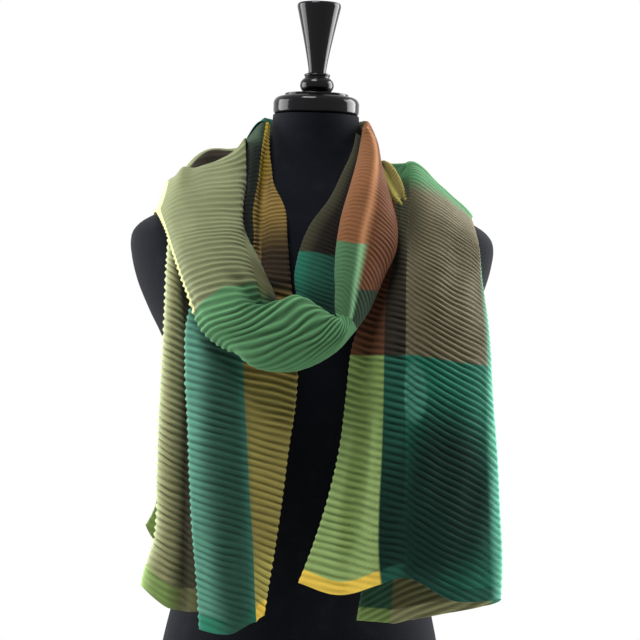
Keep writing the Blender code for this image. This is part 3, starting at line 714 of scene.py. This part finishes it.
loop = pleated("loop_cloth", LOOP, (6, 20, 24, 8), pitch, strength, lean=lean, creases=creases,
               before=(pick(SHOULDERS[-2], 7, 5, 4, 3, 0),), after=(LIMB[1][::-1],), sway=0.6, notched=(0,),
               colour_from=tuple(loop_turn + extra for extra in (22, 20, 12, 8, 16)), outer=-1, seed=7)
shoulder_end = -(loop_turn + 12) * MM   # where the middle line starts, counted from the green row
# Patches: the inside of the pocket, brown cloth darkened with painted shade; painted shade on the green and
# the sage at the right, where the cloth turns into the hollow; and the pale selvage of the left wing.
woven(loop, "loop_check", ((PALE_YELLOW, SAGE), (GREEN, GREEN)), (0.35,), ((0.0, 0.0012),), patches=(
    (2.25, shoulder_end + 0.056, 1.0, 0.018, DARK_BROWN_IN_PAINTED_SHADE, 0.2), (3.2, 0.026, 0.9, 0.026, SHADY_GREEN, 0.9),
    (3.6, -0.012, 0.7, 0.03, DULL_OLIVE, 0.9), (3.7, 0.02, 0.45, 0.016, PAINTED_SHADE_GREEN, 0.9),
    (0.4, shoulder_end + 0.085, 0.55, 0.035, PALE_YELLOW, 0.3)))
print("loop:", round(cloth_length(LOOP)), "mm round, its green part from", round(loop_turn), "mm")

# %% [markdown]
# ## The right limb
# From the twist the same cloth climbs to the right side of the neck. It is folded to a roll: a narrow
# front, a crest and a broad side. The crest is stretched so tightly that its pleats are almost gone.

# %% Limb
COLLAR = (
    LIMB[-1],
    ((54, 3, 699), (52, 1, 711), (55, 3, 726), (66, 7, 704), (70, 8, 684)),
    ((38, 41, 690), (37, 39, 708), (41, 44, 728), (50, 53, 700), (55, 58, 674)),
    ((0, 53, 686), (0, 51, 706), (0, 56, 729), (0, 63, 698), (0, 66, 668)),
    ((-38, 41, 690), (-37, 39, 708), (-41, 44, 728), (-50, 50, 700), (-54, 54, 676)),
    ((-53, 3, 697), (-52, 1, 711), (-56, 1, 726), (-62, 3, 706), (-66, 5, 690)),
    ((-52, -15, 708), (-49, -17.5, 716), (-55, -17.5, 721), (-74, -10.5, 702), (-76, -8, 692)),
)
strength = (
    (0, ((1, 0.3), (2, 0.45), (3, 0.2), (4, 0.1))),
    (0.2, ((0, 0.1), (1.35, 0.1), (1.6, 0.7), (1.85, 0.5), (2, 0.15), (2.3, 0.5), (3, 0.7))),
)
SPIRAL = ((1, -4), (1.5, -8), (2, -20), (3, -38), (4, -40))
limb = pleated("limb_cloth", LIMB, (5, 16, 20, 5), 5.2, strength, before=(LOOP[-2][::-1],),
               after=(COLLAR[1],), lean=((0, SPIRAL), (0.85, SPIRAL), (1, ((0, 0),))), sway=0.4,
               colour_from=(94, 92, 75, 91, 92), seed=11)
# Lit and shaded copies of one cloth: past line 1.88 the crest takes a painted highlight, and past line 2.08
# the side takes painted shade.
woven(limb, "limb_check", (
    (DULL_GREEN, PAINTED_HIGHLIGHT_GREEN, PAINTED_SHADE_GREEN),
    (DULL_GREEN, PAINTED_HIGHLIGHT_GREEN, PAINTED_SHADE_ORANGE),
    (DULL_ORANGE, PAINTED_HIGHLIGHT_ORANGE, PAINTED_SHADE_ORANGE),
), (1.88, 2.08), ((-0.048, 0.0012), (0.0, 0.0012)), edge=0.13)

# %% [markdown]
# ## The collar
# The inner turn goes on round the back of the neck as a narrow standing fold, open at the bottom. A bent
# tube would look too smooth, so it has the same five lines as the limb, which lets the pleats run through.

# %% Collar
collar = pleated("collar_cloth", COLLAR, (6, 8, 10, 8), 5.8, ((0, ((0, 0.8), (1, 0.8), (2, 0.6), (3, 1))),),
                 before=(LIMB[-2],), sway=0.4, notched=(0, 1), seed=13)
woven(collar, "collar_check", (
    (DULL_ORANGE, DULL_ORANGE),
    (BROWN, DULL_OLIVE),
    (DEEP_TEAL, DEEP_TEAL),
), (2.0,), ((0.03, 0.001), (0.14, 0.001)))

# %% [markdown]
# ## Inside the loop
# Between the neck and the right limb shows the far side of the same fold, a narrow curved strip. On the
# left of the neck the inner turn comes down as two gold ridges with a valley between, and becomes the left
# tail. The two could be parts of the loop's mesh, but each has its own bend, so each is a sheet of its own.

# %% Strip and neck
STRIP = (
    ((50, -15, 708), (44, -24, 711), (47, -25, 707), (54, -18, 701)),
    ((49, -28, 690), (41, -41, 693), (46, -43, 688), (57, -34, 680)),
    ((43, -54, 664), (31, -63, 668), (40, -66, 663), (58, -54, 652)),
    ((30, -76, 634), (18, -84, 638), (30, -87, 632), (54, -75, 620)),
    ((10, -97, 602), (-3, -104, 606), (12, -108, 600), (43, -96, 588)),
    ((0, -112, 574), (-13, -119, 577), (3, -122, 572), (40, -107, 560)),
    ((-3, -122, 546), (-16, -130, 549), (0, -133, 543), (36, -117, 531)),
    ((0, -126, 523), (-11, -134, 526), (2, -137, 521), (33, -123, 509)),
)
NECK_LEFT = (
    ((-48, -19, 717), (-50, -20, 722), (-55, -19, 721), (-74, -12, 702)),
    ((-47, -40, 692), (-50, -43, 692), (-58, -47, 693), (-74, -31, 682)),
    ((-43, -62, 655), (-52, -58, 655), (-61, -66, 656), (-78, -50, 650)),
    ((-29, -84, 625), (-53, -78, 623), (-66, -86, 622), (-82, -70, 620)),
    ((-25, -104, 590), (-52, -98, 588), (-64, -104, 586), (-88, -92, 586)),
    ((-20, -121, 547), (-52, -119, 553), (-76, -117, 561), (-98, -110, 569)),
)
TAIL_LEFT = (
    (*NECK_LEFT[-1], (-90, -104, 565)),
    ((-11, -134, 489), (-66, -136, 500), (-97, -136, 508), (-124, -126, 516), (-108, -119, 513)),
    ((-11, -142, 428), (-65, -145, 440), (-96, -150, 448), (-125, -136, 455), (-108, -130, 452)),
    ((-17, -145, 376), (-60, -148, 386), (-92, -153, 394), (-121, -139, 402), (-104, -133, 399)),
    ((-22, -147, 325), (-56, -150, 335), (-88, -155, 343), (-118, -141, 351), (-101, -135, 348)),
    ((-28, -148, 274), (-51, -151, 283), (-84, -156, 292), (-114, -142, 301), (-97, -136, 298)),
    ((-35, -149, 222), (-47, -152, 229), (-78, -157, 240), (-108, -143, 250), (-92, -137, 247)),
    ((-40, -150, 170), (-43, -152, 177), (-72, -157, 188), (-103, -144, 198), (-88, -138, 195)),
    ((-42, -150, 118), (-43, -152, 125), (-68, -157, 136), (-100, -144, 146), (-85, -138, 143)),
)
strip = pleated("strip_cloth", STRIP, (6, 8, 12), 5.0, ((0, ((0, 0.15),)), (0.6, ((0, 0.15), (3, 0.2)))),
                sway=0.3, outer=-1, colour_from=(7, 7, 2, -5), seed=17)
# Past line 1.7, where the strip lies behind the limb, each row is darker as painted shade; the olive of the
# first row and the whole last row are painted shade as well.
woven(strip, "strip_check", (
    (PAINTED_SHADE_OLIVE, PAINTED_DEEP_SHADE_BROWN),
    (DULL_TEAL, DEEP_TEAL),
    (DEEP_TEAL, PAINTED_SHADE_TEAL),
), (1.7,), ((0.163, 0.001), (0.21, 0.025)), edge=0.35)
neck = pleated("neck_cloth", NECK_LEFT, (10, 10, 8), 5.2, ((0, ((0, 0.5), (1, 0.4), (1.7, 0.5), (2, 0.15))),),
               after=(TAIL_LEFT[1][:4],), creases=(((0, 1, 5, 2), (60, 1, 6, 5), (180, 1, 6, 5)),), sway=0.3,
               notched=(0,), seed=19)
# Past line 1.75 the dark green layer is painted shade, darker still below the first row.
woven(neck, "neck_check", (
    (AMBER, PALE_AMBER, PAINTED_SHADE_GREEN),
    (AMBER, PALE_AMBER, PAINTED_DEEP_SHADE_GREEN),
    (TAN, AMBER, PAINTED_DEEP_SHADE_GREEN),
    (DARK_RUST, DEEP_TAN, PAINTED_DEEP_SHADE_GREEN),
), (1.0, 1.75), ((0.03, 0.008), (0.07, 0.03), (0.14, 0.03)))

# %% [markdown]
# ## The left tail
# This end hangs in layers. In front is a panel with a gold stripe at its free edge and a teal field that
# folds back on the left. The panel could be one flat sheet, but its field is rounded like a belly, so it
# has five lines.

# %% Left tail
left_hem = hem_places(TAIL_LEFT, (207, 200, 187, 190, 193))
strength = (
    (0, ((0, 0.8), (1, 0.5), (2, 0.6), (2.9, 0.6), (3, 0.4), (4, 0.8))),
    (0.96, ((0, 0.7), (1, 0.5), (2.9, 0.5), (3, 0.4), (4, 0.8))),
    (1, ((0, 0.2),)),
)
tail_left = pleated("tail_left_cloth", TAIL_LEFT, (22, 14, 14, 8), ((0, 7.8), (1, 7.4)), strength,
                    stop=left_hem, before=(pick(NECK_LEFT[-2], 0, 1, 2, 3, 3),), sway=0.7, notched=(0,),
                    colour_from=left_hem, seed=23)
# The stripe's first row, where the tail goes up under the loop, is painted deep shade, and the patch is
# painted shade on the right part of the field.
woven(tail_left, "left_tail_check", (
    *((stripe, GREY_TEAL, MIST_TEAL) for stripe in (PAINTED_DEEP_SHADE_BROWN, TAN, GOLD, PALE_GOLD)),
    (YELLOW, TEAL, TEAL),
), (1.0, 1.3), ((-0.33, 0.02), (-0.25, 0.02), (-0.06, 0.02), (-0.016, 0.004)),
    patches=((1.7, -0.17, 0.65, 0.26, PAINTED_HALF_SHADE_TEAL, 0.8),))

# %% [markdown]
# ## The roll and the corner
# Behind the panel the other half of the cloth rolls out to the left, and its corner hangs past the roll.
# Layers that lie loosely on each other are separate sheets, because one mesh would have to pass from one
# to the next somewhere out of sight.

# %% Roll and corner
ROLL = (
    ((-118, -94, 590), (-134, -97, 598), (-150, -86, 606), (-146, -76, 604), (-130, -77, 597)),
    ((-118, -106, 540), (-136, -109, 550), (-151, -98, 560), (-147, -88, 557), (-128, -88, 548)),
    ((-112, -121.5, 485), (-134, -118, 495), (-151, -108, 505), (-148, -96, 502), (-128, -93, 491)),
    ((-108, -131, 425), (-134, -127, 435), (-152, -115, 446), (-149, -102, 443), (-126, -98, 431)),
    ((-106, -134, 370), (-133, -130, 380), (-153, -118, 392), (-149, -105, 389), (-124, -101, 376)),
    ((-104, -136, 315), (-133, -131, 326), (-153, -120, 338), (-149, -107, 335), (-123, -102, 321)),
    ((-101, -137, 260), (-133, -132, 272), (-153, -121, 284), (-151, -108, 281), (-122, -103, 266)),
    ((-98, -137, 205), (-134, -132, 220), (-165, -121, 237), (-158, -108, 228), (-122, -103, 212)),
    ((-96, -137, 150), (-134, -132, 166), (-170, -121, 178), (-162, -108, 174), (-122, -103, 158)),
)
SIDE = ((2, 0.6), (4, 0.8))
roll = pleated("roll_cloth", ROLL, (12, 12, 6, 12), 7.4, ((0, SIDE), (0.9, SIDE), (1, ((0, 0.15),))),
               stop=hem_places(ROLL, (207, 208, 231, 228, 214)), sway=0.5, notched=(1,),
               creases=(((0, 0.8, 9, 3), (120, 0.75, 10, 10)),), seed=29)
# By the panel's fold the roll is darker, painted shade, and on its left fold paler, a painted highlight; the
# hem repeats both, olive at the inner edge and pale lime at the fold.
woven(roll, "roll_check", ((PAINTED_SHADE_OLIVE, OLIVE, PAINTED_HIGHLIGHT_SAGE, OLIVE),), (0.95, 1.6, 2.15),
      hem=(0.024, (DULL_OLIVE, LIME, PAINTED_HIGHLIGHT_LIME, LIME)), edge=0.25)
CORNER = (
    ((-122, -89, 470), (-134, -90, 474), (-145, -91, 478)),
    ((-121, -95, 400), (-134, -96, 404), (-147, -97, 408)),
    ((-119, -97, 340), (-134, -98, 344), (-150, -99, 348)),
    ((-118, -98, 300), (-136, -98, 304), (-156, -99, 308)),
    ((-118, -98, 262), (-138, -98, 266), (-175, -99, 270)),
    ((-118, -98, 226), (-140, -98, 230), (-180, -99, 234)),
)
corner = pleated("corner_cloth", CORNER, (7, 10), 7.4, ((0, ((0, 0.6),)), (1, ((0, 0.2),))),
                 stop=hem_places(CORNER, (256, 262, 291)), notched=(1,), seed=31)
woven(corner, "corner_check", ((LIME,),))

# %% [markdown]
# ## The gather
# Where the right tail comes over the shoulder, a pinch of cloth is drawn in beside the limb and ends in a
# point. Sculpting would do it, but lines that simply run together give the point by themselves.

# %% Gather
GATHER = (
    ((66, -22, 681), (68, -27, 683), (70, -23, 681), (73, -27, 683), (76, -20, 681)),
    ((70, -34, 667), (74, -42, 672), (76, -38, 671), (81, -42, 678), (84, -34, 673)),
    ((76, -46, 650), (80, -54, 656), (84, -48, 655), (90, -53, 664), (93, -46, 659)),
    ((84, -56, 638), (88, -62, 643), (91, -58, 643), (95, -62, 650), (98, -57, 647)),
    ((93, -63, 632), (95, -66, 635), (96, -65, 636), (98, -66, 639), (99, -65, 640)),
)
gather = pleated("gather_cloth", GATHER, (8, 8, 8, 8), 3.6, ((0, ((2, 0.15), (4, 0.5))),), notched=(0,),
                 creases=(((0, 2, 2.5, 2), (50, 2, 2.5, 2)),), outer=-1, seed=37)
woven(gather, "gather_check", ((PALE_GOLD, GOLD),), (2.0,))

# %% [markdown]
# ## The dress form
# The torso is foam under black stretch jersey: smooth ovals from the hips to the neck, with rounded stumps
# for arms. It could be sculpted, but level ovals from a table give the same smooth form and can be read.

# %% Torso
NECK_TOP = 730.7
# Each row is a level oval section: height, half width, depth in front, depth behind.
TORSO = (
    (0, 160, 105, 112), (50, 163, 110, 116), (100, 159, 111, 114), (163, 148, 107, 104),
    (220, 136, 97, 88), (285, 130, 90, 76), (350, 134, 94, 80), (400, 141, 102, 86),
    (450, 150, 113, 90), (484, 158, 118, 92), (516, 174, 116, 93), (548, 188, 108, 92),
    (575, 195, 98, 89), (588, 196.5, 93, 86), (600, 194.5, 88, 83), (611, 185, 82, 79),
    (616, 177, 79, 76), (622, 165, 75, 73), (632, 140, 70, 68), (642, 116, 65, 63),
    (652, 90, 60, 58), (664, 66, 55, 54), (680, 55, 50, 50), (700, 49.5, 47, 47),
    (NECK_TOP, 46.5, 46, 46),
)
TURN = np.linspace(0, 2 * math.pi, 96, endpoint=False)      # once round, for all rings


def ring_mesh(name, rings, sharp):
    """Closed mesh object through rings of points, with a flat face on the first and on the last ring."""
    levels, count = rings.shape[:2]
    corner = np.arange(levels * count).reshape(levels, count)
    low, high = corner[:-1], corner[1:]
    faces = np.stack((low, np.roll(low, -1, 1), np.roll(high, -1, 1), high), axis=2).reshape(-1, 4)
    ends = [corner[0, ::-1].tolist(), corner[-1].tolist()]
    mesh = bpy.data.meshes.new(name)
    mesh.from_pydata(rings.reshape(-1, 3) * MM, [], faces.tolist() + ends)
    mesh.shade_smooth()
    mesh.set_sharp_from_angle(angle=math.radians(sharp))
    piece = bpy.data.objects.new(name, mesh)
    bpy.context.scene.collection.objects.link(piece)
    print(f"{name}: {len(mesh.polygons)} faces")
    return piece


def ovals(rows, spacing=5.0):
    """Rings of a body whose level sections are half ellipses in front and behind, smooth in between."""
    height, half_width, front, back = np.array(rows, dtype=float).T[:, :, None]
    depth = np.where(np.sin(TURN) < 0, front, back)
    table = np.stack((half_width * np.cos(TURN), depth * np.sin(TURN), height + 0 * TURN), axis=2)
    length = distances(table)[-1]
    return along_lines(table, np.linspace(0, length, round(length / spacing) + 1))


torso = ring_mesh("torso_jersey", ovals(TORSO), 30.0)

# %% [markdown]
# ## The cap and the finial
# The cap, the thin plate and the finial are turned from wood and lacquered black. A turned part is a
# profile carried once round its axis, so a short list of radii and heights is enough, and every edge that
# a lathe would break gets a small round.

# %% Turned parts
CAP, PLATE, GAP = 20.3, 3.3, 0.3        # heights of the cap and the plate, and the gap under the finial
CAP_RADIUS, PLATE_RADIUS, FINIAL_RADIUS = 46.5, 34.5, 23.6
STEM_RADIUS, STEM_END, FLARE_END = 9.6, 25.0, 93.4      # the two ends are heights over the foot
TOP = 853.9


def turned(name, profile):
    """Surface of revolution: every (radius, height) of the profile, from the bottom up, goes once round."""
    radius, height = np.array(profile, dtype=float).T[:, :, None]
    rings = np.stack((radius * np.cos(TURN), radius * np.sin(TURN), height + 0 * TURN), axis=2)
    return ring_mesh(name, rings, 40.0)


def arc(centre_radius, centre_height, radius, start, end, steps):
    """Points of a round edge in a profile: its centre plus radius times the cosine and sine of the angle.

    Angles are in degrees from the outward direction.
    """
    angle = np.radians(np.linspace(start, end, steps + 1))
    return list(zip(centre_radius + radius * np.cos(angle), centre_height + radius * np.sin(angle)))


cap_top = NECK_TOP + CAP
plate_top = cap_top + PLATE
foot = plate_top + GAP
cap = turned("neck_cap_gloss", arc(CAP_RADIUS - 4.5, NECK_TOP + 4.8, 4.5, -90, 0, 8)
             + arc(CAP_RADIUS - 8, cap_top - 8, 8, 0, 90, 14))
plate = turned("cap_plate_gloss", arc(PLATE_RADIUS - 0.8, cap_top + 1.1, 0.8, -90, 0, 3)
               + arc(PLATE_RADIUS - 0.8, plate_top - 0.8, 0.8, 0, 90, 3))
finial = turned("finial_gloss", [(14.5, foot)] + arc(STEM_RADIUS, foot + 9, 8.8, -62, 62, 14)
                + arc(12.7, foot + 20, 1.5, -70, 70, 6) + [(9.9, foot + 22.6), (STEM_RADIUS, foot + STEM_END)]
                + [(STEM_RADIUS + (FINIAL_RADIUS - STEM_RADIUS) * share ** 1.15,
                    foot + STEM_END + (FLARE_END - STEM_END) * share) for share in np.linspace(0.05, 1, 24)]
                + arc(FINIAL_RADIUS - 3, TOP - 3.7, 3.0, -5, 85, 7) + [(10, TOP)])

# %% [markdown]
# ## The finishes of the form
# Jersey is knitted, so it has fine columns of stitches and swallows the light. Lacquer is the opposite: a
# smooth coat that mirrors its surroundings, with faint rings from the lathe. Both are nearly black, so
# colour would not tell them apart: only roughness and a fine bump do.

# %% Jersey and lacquer
def jersey():
    """Matt black knit: fine columns of stitches with a small bump, and a faint lint."""
    finish = Finish("black_jersey_knit", {"Sheen Weight": 0.05, "Sheen Roughness": 0.5,
                                          "Specular IOR Level": 0.04})
    place = finish.node("ShaderNodeTexCoord", {}, 3)
    stitches = finish.noise(place, (900, 900, 420))
    lint = finish.step(finish.noise(place, 60, 4.0), 0.62, 0.12)
    colour = finish.mix(lint * 0.5, (0.005, 0.006, 0.009, 1), (0.010, 0.011, 0.014, 1))
    finish.feed(finish.shader, {"Base Color": colour, "Roughness": 0.82 + stitches * 0.15})
    finish.bump(stitches, 0.0004)
    return finish.material


def lacquer():
    """Polished black lacquer on turned wood: faint rings from the lathe and a little dust."""
    finish = Finish("black_lacquer", {"Base Color": (0.004, 0.004, 0.005, 1.0), "Specular IOR Level": 0.14})
    place = finish.node("ShaderNodeTexCoord", {}, 3)
    dust = finish.step(finish.noise(place, 220, 4.0), 0.6, 0.15)
    finish.feed(finish.shader, {"Roughness": 0.11 + dust * 0.10})
    finish.bump(finish.noise(place, (0, 0, 900), 1.0), 0.00002)
    return finish.material


knit, gloss = jersey(), lacquer()
for piece, finish in ((torso, knit), (cap, gloss), (plate, gloss), (finial, gloss)):
    piece.data.materials.append(finish)
print("form: jersey on the torso, lacquer on the cap, the plate and the finial")

# %% [markdown]
# ## The stage
# The floor is pale and plain. To the camera it fades into the white of the world, which only camera and
# mirror rays see: a real white room would light the cloth from all sides and wash its pleats out.

# %% Floor and world
FLOOR_RADIUS = 6.0
FADE, FADE_SOFT = 0.75, 0.45            # how far from the middle the floor turns white, and how softly
bpy.ops.mesh.primitive_circle_add(vertices=96, radius=FLOOR_RADIUS, fill_type="NGON")
floor = bpy.context.object
floor.name = "floor"


def seen(nodes):
    """1 where a ray comes from the camera or a mirror, so that it sees the white of the room, else 0."""
    kinds = ("Is Camera Ray", "Is Glossy Ray", "Is Transmission Ray")
    camera_ray, glossy, through = (nodes.node("ShaderNodeLightPath", {}, kind) for kind in kinds)
    return nodes.maths("MAXIMUM", camera_ray, nodes.maths("MAXIMUM", glossy, through))


paper = Finish("pale_floor", {"Base Color": (0.6, 0.6, 0.6, 1.0), "Roughness": 0.9})
place = paper.node("ShaderNodeTexCoord", {}, 3)
radius = paper.node("ShaderNodeVectorMath", {0: place}, "Value", operation="LENGTH")
glow = paper.node("ShaderNodeEmission", {"Strength": 1.0})
far = paper.step(radius, FADE, FADE_SOFT) * seen(paper)
blend = paper.node("ShaderNodeMixShader", {0: far, 1: Wire(paper, paper.shader.outputs[0]), 2: glow})
paper.feed(paper.tree.nodes["Material Output"], {"Surface": blend})
floor.data.materials.append(paper.material)

scene = bpy.context.scene
scene.world = bpy.data.worlds.new("white_room")
scene.world.use_nodes = True
room = Nodes(scene.world.node_tree)
white = seen(room) * 0.97 + 0.03        # full white where it is seen, and a little light for all else
room.feed(room.tree.nodes["Background"], {"Color": (1.0, 1.0, 1.0, 1.0), "Strength": white})
print("stage: floor", 2 * FLOOR_RADIUS, "m wide, white from", round(FADE + FADE_SOFT, 2), "m on")

# %% [markdown]
# ## Light and camera
# Two large soft boxes stand beside the form and a little behind it, so the edges of the cloth light up and
# every pleat has a shaded side. A smaller one fills from above, in front and to the left. One lamp by the
# camera would be simpler, but it would light both sides of a pleat alike. The camera stands far off and
# level with the chest, as for a portrait, so the form is not drawn out.

# %% Lamps and camera
AIM = Vector((0, 0, 0.45))              # all lamps look at the chest


def soft_box(name, place, size, power):
    """Large area lamp at place, turned towards the chest."""
    lamp = bpy.data.lights.new(name, "AREA")
    lamp.shape = "RECTANGLE"
    lamp.size, lamp.size_y = size
    lamp.energy = power
    box = bpy.data.objects.new(name, lamp)
    box.location = place
    box.rotation_euler = (AIM - Vector(place)).to_track_quat("-Z", "Y").to_euler()
    scene.collection.objects.link(box)


soft_box("box_left", (-1.45, 0.25, 0.65), (1.0, 1.4), 50)
soft_box("box_right", (1.4, 0.5, 0.9), (1.0, 1.6), 75)
soft_box("box_top", (-0.45, -0.7, 2.3), (0.8, 0.6), 44)

CAMERA_X, CAMERA_AWAY, CAMERA_HEIGHT = 0.011, 2.6, 0.510
CAMERA_ROLL = 1.73                      # degrees
VIEW_WIDTH = 0.693312                   # what the camera sees at the form's axis, in metres
SENSOR = 36.0                           # millimetres
camera_data = bpy.data.cameras.new("camera")
camera_data.sensor_width = SENSOR
camera_data.lens = SENSOR * CAMERA_AWAY / VIEW_WIDTH
camera = bpy.data.objects.new("camera", camera_data)
camera.matrix_world = (Matrix.Translation((CAMERA_X, -CAMERA_AWAY, CAMERA_HEIGHT))
                       @ Matrix.Rotation(math.radians(90), 4, "X")
                       @ Matrix.Rotation(math.radians(CAMERA_ROLL), 4, "Z"))
scene.collection.objects.link(camera)
scene.camera = camera
scene.view_settings.view_transform = "Standard"
print("camera:", round(camera_data.lens), "mm lens,", CAMERA_AWAY, "m away")

# %% [markdown]
# ## Joining the pieces to the frame
# Every piece rides on the one body and stands for the solids that it rebuilds, which are hidden. The table
# also lists a finish and a flat size for each stretch, which are not used.

# %% Frame
STANDS_FOR = {
    tail_right: (("scarf_tail_right_top", "scarf_tail_right_upper", "scarf_tail_right_lower",
                  "scarf_hem_right"), "green_cloth", (0.33, 0.50)),
    shoulders: (("scarf_shoulder_right", "scarf_nape_outer"), "green_cloth", (0.20, 0.45)),
    loop: (("scarf_loop_left", "scarf_loop_bottom"), "sage_cloth", (0.12, 0.45)),
    limb: (("scarf_limb_right",), "orange_cloth", (0.09, 0.27)),
    collar: (("scarf_nape_inner",), "brown_cloth", (0.09, 0.22)),
    strip: (("scarf_strip_right",), "brown_cloth", (0.06, 0.25)),
    neck: (("scarf_neck_left",), "gold_cloth", (0.06, 0.22)),
    tail_left: (("scarf_tail_left", "scarf_hem_left"), "green_cloth", (0.12, 0.40)),
    roll: (("scarf_roll_left", "scarf_hem_roll"), "olive_cloth", (0.08, 0.40)),
    corner: (("scarf_corner_left",), "lime_cloth", (0.03, 0.25)),
    gather: (("scarf_gather_right",), "yellow_cloth", (0.04, 0.08)),
}
for piece, (nodes, finish, flat) in STANDS_FOR.items():
    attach(piece, "root")
    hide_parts(*nodes)
for piece, node, finish in ((torso, "form_torso", "black_jersey"), (cap, "form_neck_cap", "black_gloss"),
                            (plate, "form_cap_plate", "black_gloss"), (finial, "form_finial", "black_gloss")):
    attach(piece, "root")
    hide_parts(node)
print("joined:", len(STANDS_FOR), "stretches of cloth and 4 parts of the form")
